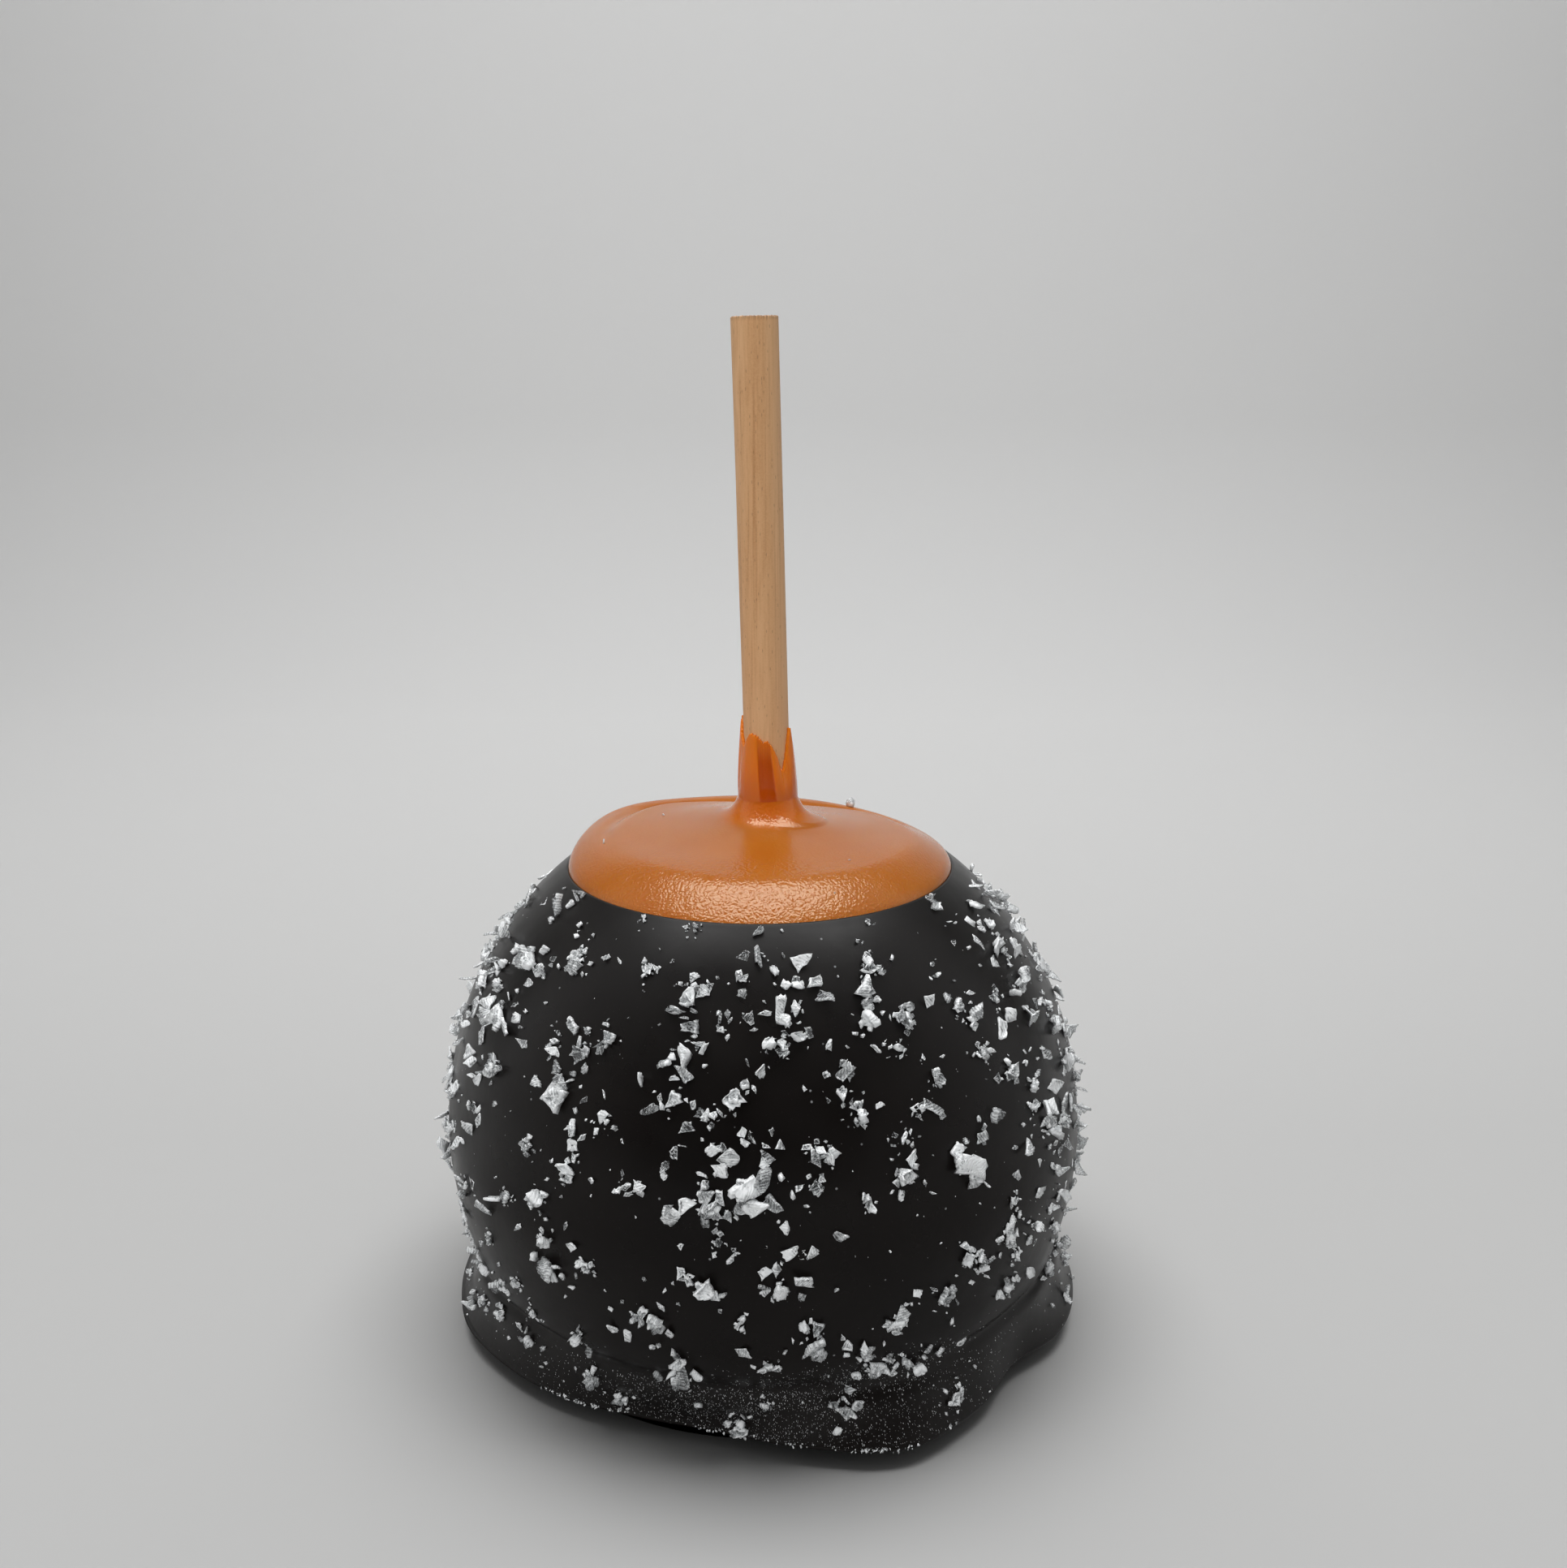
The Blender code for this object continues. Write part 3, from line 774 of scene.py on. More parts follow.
@dataclass
class Caramel:
    """The caramel: the body inside the coat, the bare cap, and the collar that climbs the stick."""

    body: Body
    stick_radius: float = 3.175 * MM
    columns: int = 400
    floor: float = 3.3 * MM
    inset: float = 2.3 * MM
    edge_height: float = 68.2 * MM
    cap_radius: float = 27.4 * MM
    cap_edge: float = 67.8 * MM
    shoulder_rise: float = 3.4 * MM
    shoulder_power: float = 14.0
    shoulder_root: float = 0.5
    roll_power: tuple[Swell, ...] = (Swell(268.0, -6.0, 60.0), Swell(95.0, 12.0, 60.0))
    roll_root: tuple[Swell, ...] = (Swell(268.0, 0.4, 60.0),)
    cap_swell: tuple[Swell, ...] = (
        Swell(148.0, 2.6 * MM, 30.0),
        Swell(98.0, 0.5 * MM, 32.0),
        Swell(28.0, -1.1 * MM, 38.0),
    )
    swell_power: float = 6.0
    mound_rise: float = 2.4 * MM
    mound_spread: float = 13.5 * MM
    mound_power: float = 2.5
    crest_rise: float = 1.4 * MM
    crest_dip: tuple[Swell, ...] = (Swell(50.0, -0.4 * MM, 50.0), Swell(140.0, 0.3 * MM, 40.0))
    crest_radius: float = 23.8 * MM
    crest_inwards: tuple[Swell, ...] = (Swell(86.0, -10.2 * MM, 44.0),)
    crest_width: float = 6.0 * MM
    crest_narrowing: tuple[Swell, ...] = (Swell(80.0, -2.4 * MM, 75.0),)
    valley: tuple[Swell, ...] = (Swell(135.0, -1.1 * MM, 46.0), Swell(48.0, -1.2 * MM, 26.0))
    valley_radius: float = 22.1 * MM
    valley_width: float = 1.4 * MM
    fillet_rise: float = 2.8 * MM
    fillet_spread: float = 1.1 * MM
    apron_rise: float = 0.15 * MM
    apron_spread: float = 3.0 * MM
    pool_rise: float = 0.26 * MM
    pool_radius: float = 5.6 * MM
    pool_reach: tuple[Swell, ...] = (Swell(350.0, 2.9 * MM, 48.0),)
    pool_window: tuple[Swell, ...] = (Swell(325.0, 1.0, 62.0),)
    pool_edge: float = 1.2 * MM
    collar_radius: float = 4.25 * MM
    collar_tip_radius: float = 3.62 * MM
    collar_thinning: float = 1.6
    # The torn upper edge of the collar: direction, height.
    torn_edge: tuple[tuple[float, float], ...] = (
        (20.0, 84.8 * MM),
        (60.0, 86.6 * MM),
        (100.0, 84.6 * MM),
        (130.0, 86.2 * MM),
        (160.0, 89.2 * MM),
        (190.0, 86.8 * MM),
        (208.0, 85.4 * MM),
        (231.0, 87.5 * MM),
        (252.0, 87.0 * MM),
        (262.0, 86.3 * MM),
        (274.0, 86.5 * MM),
        (286.0, 85.5 * MM),
        (296.0, 84.0 * MM),
        (304.0, 82.2 * MM),
        (310.0, 82.1 * MM),
        (318.0, 83.4 * MM),
        (329.0, 86.0 * MM),
        (340.0, 88.0 * MM),
        (355.0, 86.6 * MM),
    )
    flute: Swell = Swell(268.0, -0.14 * MM, 17.0)
    tears: Waves = field(default_factory=lambda: Waves(seed=21, count=18, turns=(24, 90), climb=0.0))
    ease: Waves = field(default_factory=lambda: Waves(seed=22, count=14, turns=(1, 7), climb=30.0))

    def cap_height(self, radius: Array, angles: Array) -> Array:
        """The cap: a shoulder that rolls over at its rim, a mound with a crest, and a fillet at the stick.

        shoulder = rise (1 - (r / cap)^p)^n, with a gentler p and n at the front, mound = rise
        exp(-(r / spread)^q), crest = a soft step down at a radius that changes with the direction,
        valley = a bell-shaped dip behind it, fillet = rise exp(-(r - collar) / spread), apron the same but broader and rounder, pool = a slight
        step round the front right of the collar.
        """
        share = np.clip(radius / self.cap_radius, 0.0, 1.0)
        rise = self.shoulder_rise + swells(angles, self.cap_swell) * share**self.swell_power
        fall = 1.0 - share ** (self.shoulder_power + swells(angles, self.roll_power))
        shoulder = rise * fall ** (self.shoulder_root + swells(angles, self.roll_root))
        mound = self.mound_rise * np.exp(-((radius / self.mound_spread) ** self.mound_power))
        crest_at = self.crest_radius + swells(angles, self.crest_inwards)
        half = 0.5 * (self.crest_width + swells(angles, self.crest_narrowing))
        crest = self.crest_rise + swells(angles, self.crest_dip)
        crest = crest * (1.0 - smooth_step(crest_at - half, crest_at + half, radius))
        crest = crest + swells(angles, self.valley) * np.exp(
            -(((radius - self.valley_radius) / self.valley_width) ** 2)
        )
        past = radius - self.collar_radius
        fillet = self.fillet_rise * np.exp(-past / self.fillet_spread)
        apron = self.apron_rise * np.exp(-((past / self.apron_spread) ** 2))
        pool_at = self.pool_radius + swells(angles, self.pool_reach)
        pool = 1.0 - smooth_step(pool_at - 0.5 * self.pool_edge, pool_at + 0.5 * self.pool_edge, radius)
        pool = self.pool_rise * swells(angles, self.pool_window) * pool
        return self.cap_edge + shoulder + mound + crest + fillet + apron + pool

    def cap_rings(self, angles: Array) -> tuple[Array, Array]:
        """The cap's rings from its rim in, and their radii. Their middle moves to the stick's axis."""
        fine = np.linspace(self.cap_radius, self.collar_radius, 2000)
        front = self.cap_height(fine, np.full_like(fine, 1.5 * math.pi))
        radius = even_rows(fine, front, 150)[:, None] + 0.0 * angles
        height = self.cap_height(radius, angles)
        inwards = (self.cap_radius - radius) / (self.cap_radius - self.collar_radius)
        calm = smooth_step(0.0, 0.2, inwards) * (1.0 - smooth_step(0.75, 0.95, inwards))
        height = height + 0.035 * MM * self.ease.at(angles, 3.0 * radius) * calm
        middle = self.body.axis(height) * (1.0 - inwards) + self.body.stick_axis(height) * inwards
        return ring_grid(radius, height, middle, angles), radius

    def edge_at(self, angles: Array) -> Array:
        """The height of the torn edge at each angle: straight tears between its points, with small teeth."""
        directions, heights = np.array(self.torn_edge).T
        plain = np.interp(np.degrees(angles) % 360.0, directions, heights, period=360.0)
        return plain + 0.07 * MM * self.tears.at(angles, 0.0 * angles)

    def collar_rings(self, foot: Array, angles: Array) -> tuple[Array, Array]:
        """The collar's outside, from its foot to the torn edge, and the share of the way up.

        The wall thins by radius = foot radius + (tip radius - foot radius) share^power, with shallow
        flutes pressed into it that slant a little as they climb.
        """
        share = np.linspace(0.0, 1.0, 70)[1:, None] + 0.0 * angles
        height = foot + (self.edge_at(angles) - foot) * share
        radius = self.collar_radius + (self.collar_tip_radius - self.collar_radius) * share**self.collar_thinning
        pressed = smooth_step(0.0, 0.25, share) * (1.0 - 0.6 * smooth_step(0.7, 1.0, share))
        radius = radius + pressed * (self.flute_depth(angles, share) + 0.03 * MM * self.ease.at(3.0 * angles, height))
        return ring_grid(radius, height, self.body.stick_axis(height), angles), share

    def flute_depth(self, angles: Array, share: Array) -> Array:
        """The depth of the front flute: a flat-bottomed groove with quick sides, leaning with the share."""
        turn = turn_from(self.flute.direction + 8.0 * (0.5 - share), angles)
        return self.flute.step * (1.0 - smooth_step(0.75, 1.05, np.abs(turn) / self.flute.half_width))

    def build(self) -> bpy.types.Object:
        """Makes the caramel: up the hidden side, over the cap, up the collar, down the stick's hole."""
        angles = np.linspace(0.0, 2.0 * math.pi, self.columns, endpoint=False)[None, :]
        fine = np.linspace(self.floor, self.edge_height - 1.0 * MM, 300)
        side_heights = even_rows(fine, self.side_radius(fine), 14)[1:, None] + 0.0 * angles
        side = ring_grid(self.side_radius(side_heights), side_heights, self.body.axis(side_heights), angles)
        cap, cap_radius = self.cap_rings(angles)
        collar, climb = self.collar_rings(cap[-1:, :, 2], angles)
        edge = collar[-1:, :, 2]
        hug = self.stick_radius - 0.05 * MM
        round_radius = 0.5 * (self.collar_tip_radius + hug)
        over = ring_grid(round_radius + 0.0 * angles, edge + 0.08 * MM, self.body.stick_axis(edge), angles)
        down = np.array([0.0, 0.15, 0.6, 1.0])[:, None]
        bottom = STICK_LOW.z - 0.3 * MM
        hole_heights = edge + (bottom - edge) * down
        hole = ring_grid(hug + 0.0 * angles, hole_heights, self.body.stick_axis(hole_heights), angles)
        rings = np.concatenate([side, cap, collar, over, hole])
        start = np.array([0.0, 0.0, self.floor])
        end = np.array([float(self.body.stick_axis(bottom)), 0.0, bottom])
        piece = skin("caramel_body", rings, start, end)
        counts = (len(side), len(cap), len(collar), len(over) + len(hole))
        for name, blocks in self.looks(angles, cap_radius, climb).items():
            plain = [np.zeros((counts[0], 1)), blocks[0], blocks[1], np.full((counts[3], 1), blocks[2])]
            paint(piece, name, with_ends(np.concatenate([block + 0.0 * angles for block in plain])))
        return piece

    def side_radius(self, heights: Array) -> Array:
        """The hidden side: the body's ovals, taken in by the coat's wall."""
        rise = heights - self.body.girth_height
        upper = np.clip(rise / (self.body.upper_height - self.inset), 0.0, 1.0)
        lower = np.clip(-rise / (self.body.girth_height - self.floor), 0.0, 1.0)
        above = (1.0 - upper**self.body.upper_power) ** (1.0 / self.body.upper_power)
        below = (1.0 - lower**3.2) ** (1.0 / 3.2)
        return (self.body.girth_radius - self.inset) * np.where(rise >= 0.0, above, below)

    def looks(self, angles: Array, radius: Array, climb: Array) -> dict[str, tuple[Array, Array, float]]:
        """What the material reads: for each name, the numbers of the cap, of the collar and of its edge.

        Args:
            angles: the columns' angles.
            radius: the radius of each point of the cap.
            climb: the share of the way up the collar, for each of its points.

        Returns:
            thin, how thin and clear the caramel is; flute, where its front groove is, whose darker amber is partly a
            painted dark reflection; wet, the crease round the collar; pebbled, the front roll, a little of the rest
            and the crease.
        """
        past = radius - self.collar_radius
        near = 1.0 - smooth_step(0.0, 3.4 * MM, past)
        thin = 0.75 + 0.25 * smooth_step(0.0, 0.5, climb)
        flute = np.clip(self.flute_depth(angles, climb) / self.flute.step, 0.0, 1.0)
        low = 1.0 - smooth_step(0.0, 0.75, climb)
        flute = np.clip(flute * (1.0 - 0.6 * smooth_step(0.6, 1.0, climb)) + 0.35 * low, 0.0, 1.0)
        wet = 1.0 - smooth_step(0.8 * MM, 2.4 * MM, past)
        front = swells(angles, (Swell(268.0, 1.0, 62.0),))
        roll = smooth_step(13.5 * MM, 19.5 * MM, radius)
        pebbled = np.clip(0.05 + front * (0.95 * roll + 0.6 * wet + 0.16), 0.0, 1.0)
        return {
            "thin": (0.6 * near, thin, 1.0),
            # flute: the groove's darker amber, partly a painted dark reflection, also on the cap just in front of the
            # collar.
            "flute": (0.45 * near * front, flute, 0.0),
            "wet": (wet, 0.5 * low, 0.0),
            "pebbled": (pebbled, 0.12 + 0.0 * climb, 0.12),
        }


@dataclass
class Stick:
    """The round dowel, leaning a little to one side, with a slightly furry cut at its top."""

    body: Body
    radius: float = 3.175 * MM
    ease: float = 0.18 * MM
    columns: int = 160
    rows: int = 230
    fibres: Waves = field(default_factory=lambda: Waves(seed=31, count=26, turns=(14, 74), climb=25.0))
    bulk: Waves = field(default_factory=lambda: Waves(seed=32, count=8, turns=(2, 5), climb=30.0))

    def build(self) -> bpy.types.Object:
        """Makes the dowel from the middle of its lower end to the middle of its cut top.

        A ring is centre(t) + r (cos a X + sin a Y), with X and Y square to the leaning axis. The side
        carries fibre lines a hundredth of a millimetre deep.
        """
        lean = math.atan(self.body.stick_lean)
        along = np.array([math.sin(lean), 0.0, math.cos(lean)])
        sideways = np.array([math.cos(lean), 0.0, -math.sin(lean)])
        back = np.array([0.0, 1.0, 0.0])
        droop = self.radius * math.sin(abs(lean))
        low, high = STICK_LOW.z + droop, STICK_HIGH.z - droop
        foot = np.array([float(self.body.stick_axis(low)), 0.0, low])
        length = (high - low) / math.cos(lean)
        angles = np.linspace(0.0, 2.0 * math.pi, self.columns, endpoint=False)[None, :]
        side = np.linspace(self.ease, length - self.ease, self.rows)
        turn = np.linspace(0.0, 0.5 * math.pi, 4)
        top_share = np.array([0.9, 0.75, 0.5, 0.25])
        distance = np.concatenate(
            [[0.0, 0.0], self.ease * (1.0 - np.cos(turn[1:-1])), side, length - self.ease * (1.0 - np.sin(turn[1:])), np.full(4, length)]
        )
        flat = self.radius - self.ease
        reach = np.concatenate(
            [[0.5 * flat, flat], flat + self.ease * np.sin(turn[1:-1]), np.full(self.rows, self.radius), flat + self.ease * np.cos(turn[1:]), flat * top_share]
        )
        distance = distance[:, None] + 0.0 * angles
        reach = reach[:, None] + 0.0 * angles
        on_side = smooth_step(0.0, 0.4 * MM, distance) * (reach > 0.98 * self.radius)
        reach = reach + on_side * (0.008 * self.fibres.at(angles, distance) + 0.012 * self.bulk.at(angles, distance)) * MM
        near_top = smooth_step(length - 0.6 * MM, length, distance)
        distance = distance + near_top * 0.035 * MM * self.fibres.at(angles, 60.0 * reach)
        points = foot + distance[..., None] * along
        points = points + (reach * np.cos(angles))[..., None] * sideways + (reach * np.sin(angles))[..., None] * back
        piece = skin("birch_stick", points, foot, foot + length * along)
        cut = smooth_step(length - 0.32 * MM, length - 0.05 * MM, distance) * (0.55 + 0.25 * self.fibres.at(angles, distance))
        paint(piece, "cut", with_ends(np.clip(cut, 0.0, 1.0)))
        paint(piece, "pale", with_ends(self.band_and_painted_reflection(angles, distance, length)))
        return piece

    def band_and_painted_reflection(self, angles: Array, distance: Array, length: float) -> Array:
        """Where the stick is painted lighter: a band up its right side and a fainter one on its left, and lower down
        all round a painted reflection of the pale surroundings.
        """
        band = swells(angles, (Swell(330.0, 0.55, 26.0), Swell(190.0, 0.25, 22.0)))
        lower = 0.30 * (1.0 - smooth_step(0.45 * length, 0.8 * length, distance))
        return np.clip(band + lower, 0.0, 1.0)


# ---------------------------------------------------------------- salt


class Crystal(Enum):
    """The kinds of salt crystal, each made as one joined mesh."""

    FLAKE = "salt_flakes"
    HOPPER = "salt_hoppers"
    PLATE = "salt_plates"
    SHARD = "salt_shards"
    GRAIN = "salt_grains"
    DUST = "salt_dust"


@dataclass
class Places:
    """Where crystals of one kind lie: one entry of each array for each crystal."""

    direction: Array
    height: Array
    size: Array
    raised: Array

    def __add__(self, other: "Places") -> "Places":
        """Both lists together."""
        return Places(
            np.concatenate([self.direction, other.direction]),
            np.concatenate([self.height, other.height]),
            np.concatenate([self.size, other.size]),
            np.concatenate([self.raised, other.raised]),
        )

    def only(self, chosen: Array) -> "Places":
        """The chosen ones."""
        return Places(self.direction[chosen], self.height[chosen], self.size[chosen], self.raised[chosen])


@dataclass
class Shapes:
    """Crystals of one kind in their own axes: points (crystals x corners x 3), faces, and cloudiness."""

    points: Array
    faces: list[Array]
    cloudy: Array


@dataclass(frozen=True)
class FlakeForm:
    """The proportions of a kind of flake, as shares of its size, and the least and the most of each.

    A ring of its section is (reach, level, steps): the share of the outline, the level in thicknesses,
    and how many of the flake's terraces it lies down or up.
    """

    corners: int
    per_side: int
    narrow: tuple[float, float]
    thick: tuple[float, float]
    step: tuple[float, float]
    rings: tuple[tuple[float, float, float], ...]
    cut_share: float

    def make(self, rng: np.random.Generator, size: Array) -> Shapes:
        """Makes the flakes: an uneven polygon with straight sides, carried over the rings of its section.

        The terraces lie off the middle, the flake bends a little, and where it is broken a straight line
        cuts it off: points past the line move back on to it.

        Args:
            rng: the random numbers.
            size: each flake's length in metres.

        Returns:
            The flakes.
        """
        count = len(size)
        outline = self.outline(rng, count)
        reach, level, steps = np.array(self.rings).T
        half = 0.5 * size[:, None, None]
        thickness = size * rng.uniform(*self.thick, count)
        step = thickness * rng.uniform(*self.step, count)
        offset = rng.uniform(-0.16, 0.16, (count, 1, 1, 2)) * steps[None, :, None, None]
        flat = half[..., None] * (outline[:, None] * reach[None, :, None, None] + offset)
        height = thickness[:, None] * level + step[:, None] * steps
        height = height[:, :, None] + 0.24 * thickness[:, None, None] * rng.uniform(-1.0, 1.0, flat.shape[:3])
        flat = self.broken(rng, flat, size)
        bend = rng.uniform(-0.35, 0.35, (count, 1, 1))
        height = height + bend * flat[..., 0] ** 2 / size[:, None, None]
        rings = np.concatenate([flat, height[..., None]], axis=-1)
        ends = rings[:, [0, -1]].mean(axis=2)
        points = np.concatenate([ends[:, :1], rings.reshape(count, -1, 3), ends[:, 1:]], axis=1)
        return Shapes(points, list(closed_faces(len(reach), outline.shape[1])), self.clouds(rng, rings.shape[:3]))

    def outline(self, rng: np.random.Generator, count: int) -> Array:
        """Polygons with uneven corners and straight, slightly chipped sides: crystals x points x 2."""
        spacing = 2.0 * math.pi / self.corners
        turn = (np.arange(self.corners) + rng.uniform(-0.40, 0.40, (count, self.corners))) * spacing
        reach = rng.uniform(0.55, 1.0, (count, self.corners))
        narrow = rng.uniform(*self.narrow, (count, 1))
        tips = np.stack([reach * np.cos(turn), reach * np.sin(turn) * narrow], axis=-1)[:, :, None]
        after = np.roll(tips, -1, axis=1)
        share = (np.arange(self.per_side) / self.per_side)[None, None, :, None]
        points = (tips * (1.0 - share) + after * share).reshape(count, -1, 2)
        return points * (1.0 + 0.14 * rng.uniform(-1.0, 1.0, (count, points.shape[1], 1)))

    def broken(self, rng: np.random.Generator, flat: Array, size: Array) -> Array:
        """Cuts some of the flakes off along a straight line."""
        count = len(size)
        turn = rng.uniform(0.0, 2.0 * math.pi, count)
        across = np.stack([np.cos(turn), np.sin(turn)], axis=-1)
        line = size * rng.uniform(0.02, 0.28, count)
        line[rng.uniform(0.0, 1.0, count) > self.cut_share] = 1.0
        past = np.maximum(np.einsum("nrpk,nk->nrp", flat, across) - line[:, None, None], 0.0)
        return flat - 0.94 * past[..., None] * across[:, None, None, :]

    def clouds(self, rng: np.random.Generator, shape: tuple[int, int, int]) -> Array:
        """How cloudy each point is: a level for each flake, more at its rim, and patches."""
        count = shape[0]
        base = rng.choice([0.95, 0.66, 0.40, 0.18], count, p=[0.40, 0.22, 0.22, 0.16])
        middle = np.interp([ring[0] for ring in self.rings], [0.45, 0.90], [1.0, 0.0])
        hollow = rng.choice([0.05, 0.40, 0.75], count, p=[0.50, 0.25, 0.25])
        values = base[:, None] + 0.25 * (1.0 - middle) - hollow[:, None] * middle
        values = values[..., None] + 0.20 * rng.uniform(-1.0, 1.0, shape)
        return np.concatenate([base[:, None], values.reshape(count, -1), base[:, None]], axis=1)


def closed_faces(rows: int, columns: int) -> tuple[Array, Array]:
    """Faces of a closed grid with a point at each end: its quads and its end triangles."""
    here = 1 + np.arange(rows * columns).reshape(rows, columns)
    beside = np.roll(here, -1, axis=1)
    quads = np.stack([here[:-1], beside[:-1], beside[1:], here[1:]], axis=-1).reshape(-1, 4)
    first = np.stack([np.zeros(columns, int), beside[0], here[0]], axis=-1)
    end = rows * columns + 1
    last = np.stack([np.full(columns, end), here[-1], beside[-1]], axis=-1)
    return quads, np.concatenate([first, last])


FLAKE_FORM = FlakeForm(
    corners=4,
    per_side=4,
    narrow=(0.50, 1.0),
    thick=(0.14, 0.34),
    step=(-0.9, 0.7),
    rings=((0.7, -0.5, 0.0), (1.0, -0.3, 0.0), (0.96, 0.5, 0.0), (0.70, 0.5, 0.0), (0.62, 0.5, 1.0), (0.30, 0.5, 1.4)),
    cut_share=0.45,
)
HOPPER_FORM = FlakeForm(
    corners=4,
    per_side=4,
    narrow=(0.75, 1.0),
    thick=(0.20, 0.38),
    step=(-0.62, -0.35),
    rings=((0.5, -0.5, 0.0), (1.0, 0.5, 0.0), (0.80, 0.5, 0.0), (0.66, 0.5, 0.8), (0.48, 0.5, 0.9), (0.34, 0.5, 1.5)),
    cut_share=0.8,
)
PLATE_FORM = FlakeForm(
    corners=4,
    per_side=4,
    narrow=(0.55, 1.0),
    thick=(0.05, 0.10),
    step=(-0.5, 0.5),
    rings=((0.96, -0.5, 0.0), (1.0, 0.5, 0.0), (0.70, 0.5, 0.0), (0.62, 0.5, 1.0)),
    cut_share=0.6,
)
SHARD_FORM = FlakeForm(
    corners=4,
    per_side=2,
    narrow=(0.22, 0.75),
    thick=(0.14, 0.34),
    step=(-0.4, 0.5),
    rings=((0.5, -0.5, 0.0), (0.92, -0.3, 0.0), (1.0, 0.4, 0.0), (0.55, 0.5, 1.0)),
    cut_share=0.5,
)


def make_grains(rng: np.random.Generator, size: Array) -> Shapes:
    """Small chunky crystals: boxes with every corner moved at random."""
    corners = np.array([(x, y, z) for z in (-1, 1) for y in (-1, 1) for x in (-1, 1)], float)
    sides = [(0, 2, 3, 1), (4, 5, 7, 6), (0, 1, 5, 4), (2, 6, 7, 3), (0, 4, 6, 2), (1, 3, 7, 5)]
    triangles = np.array([(a, b, c) for a, b, c, _ in sides] + [(a, c, d) for a, _, c, d in sides])
    count = len(size)
    shape = rng.uniform(0.30, 1.0, (count, 1, 3))
    points = 0.32 * size[:, None, None] * (corners + 0.75 * rng.uniform(-1.0, 1.0, (count, 8, 3))) * shape
    base = rng.choice([0.95, 0.65, 0.35], (count, 1), p=[0.45, 0.3, 0.25])
    cloudy = base + 0.2 * rng.uniform(-1.0, 1.0, (count, 8))
    return Shapes(points, [triangles], cloudy)


def make_specks(rng: np.random.Generator, size: Array) -> Shapes:
    """Dust: eight-sided specks drawn out upwards, with their corners moved at random."""
    corners = np.array([(0.6, 0, 0), (-0.6, 0, 0), (0, 1.8, 0), (0, -1.8, 0), (0, 0, 0.6), (0, 0, -0.6)])
    sides = [(0, 2, 4), (2, 1, 4), (1, 3, 4), (3, 0, 4), (2, 0, 5), (1, 2, 5), (3, 1, 5), (0, 3, 5)]
    count = len(size)
    points = 0.5 * size[:, None, None] * corners[None] * rng.uniform(0.6, 1.2, (count, 6, 1))
    cloudy = np.repeat(rng.uniform(0.35, 1.0, (count, 1)), 6, axis=1)
    return Shapes(points, [np.array(sides)], cloudy)


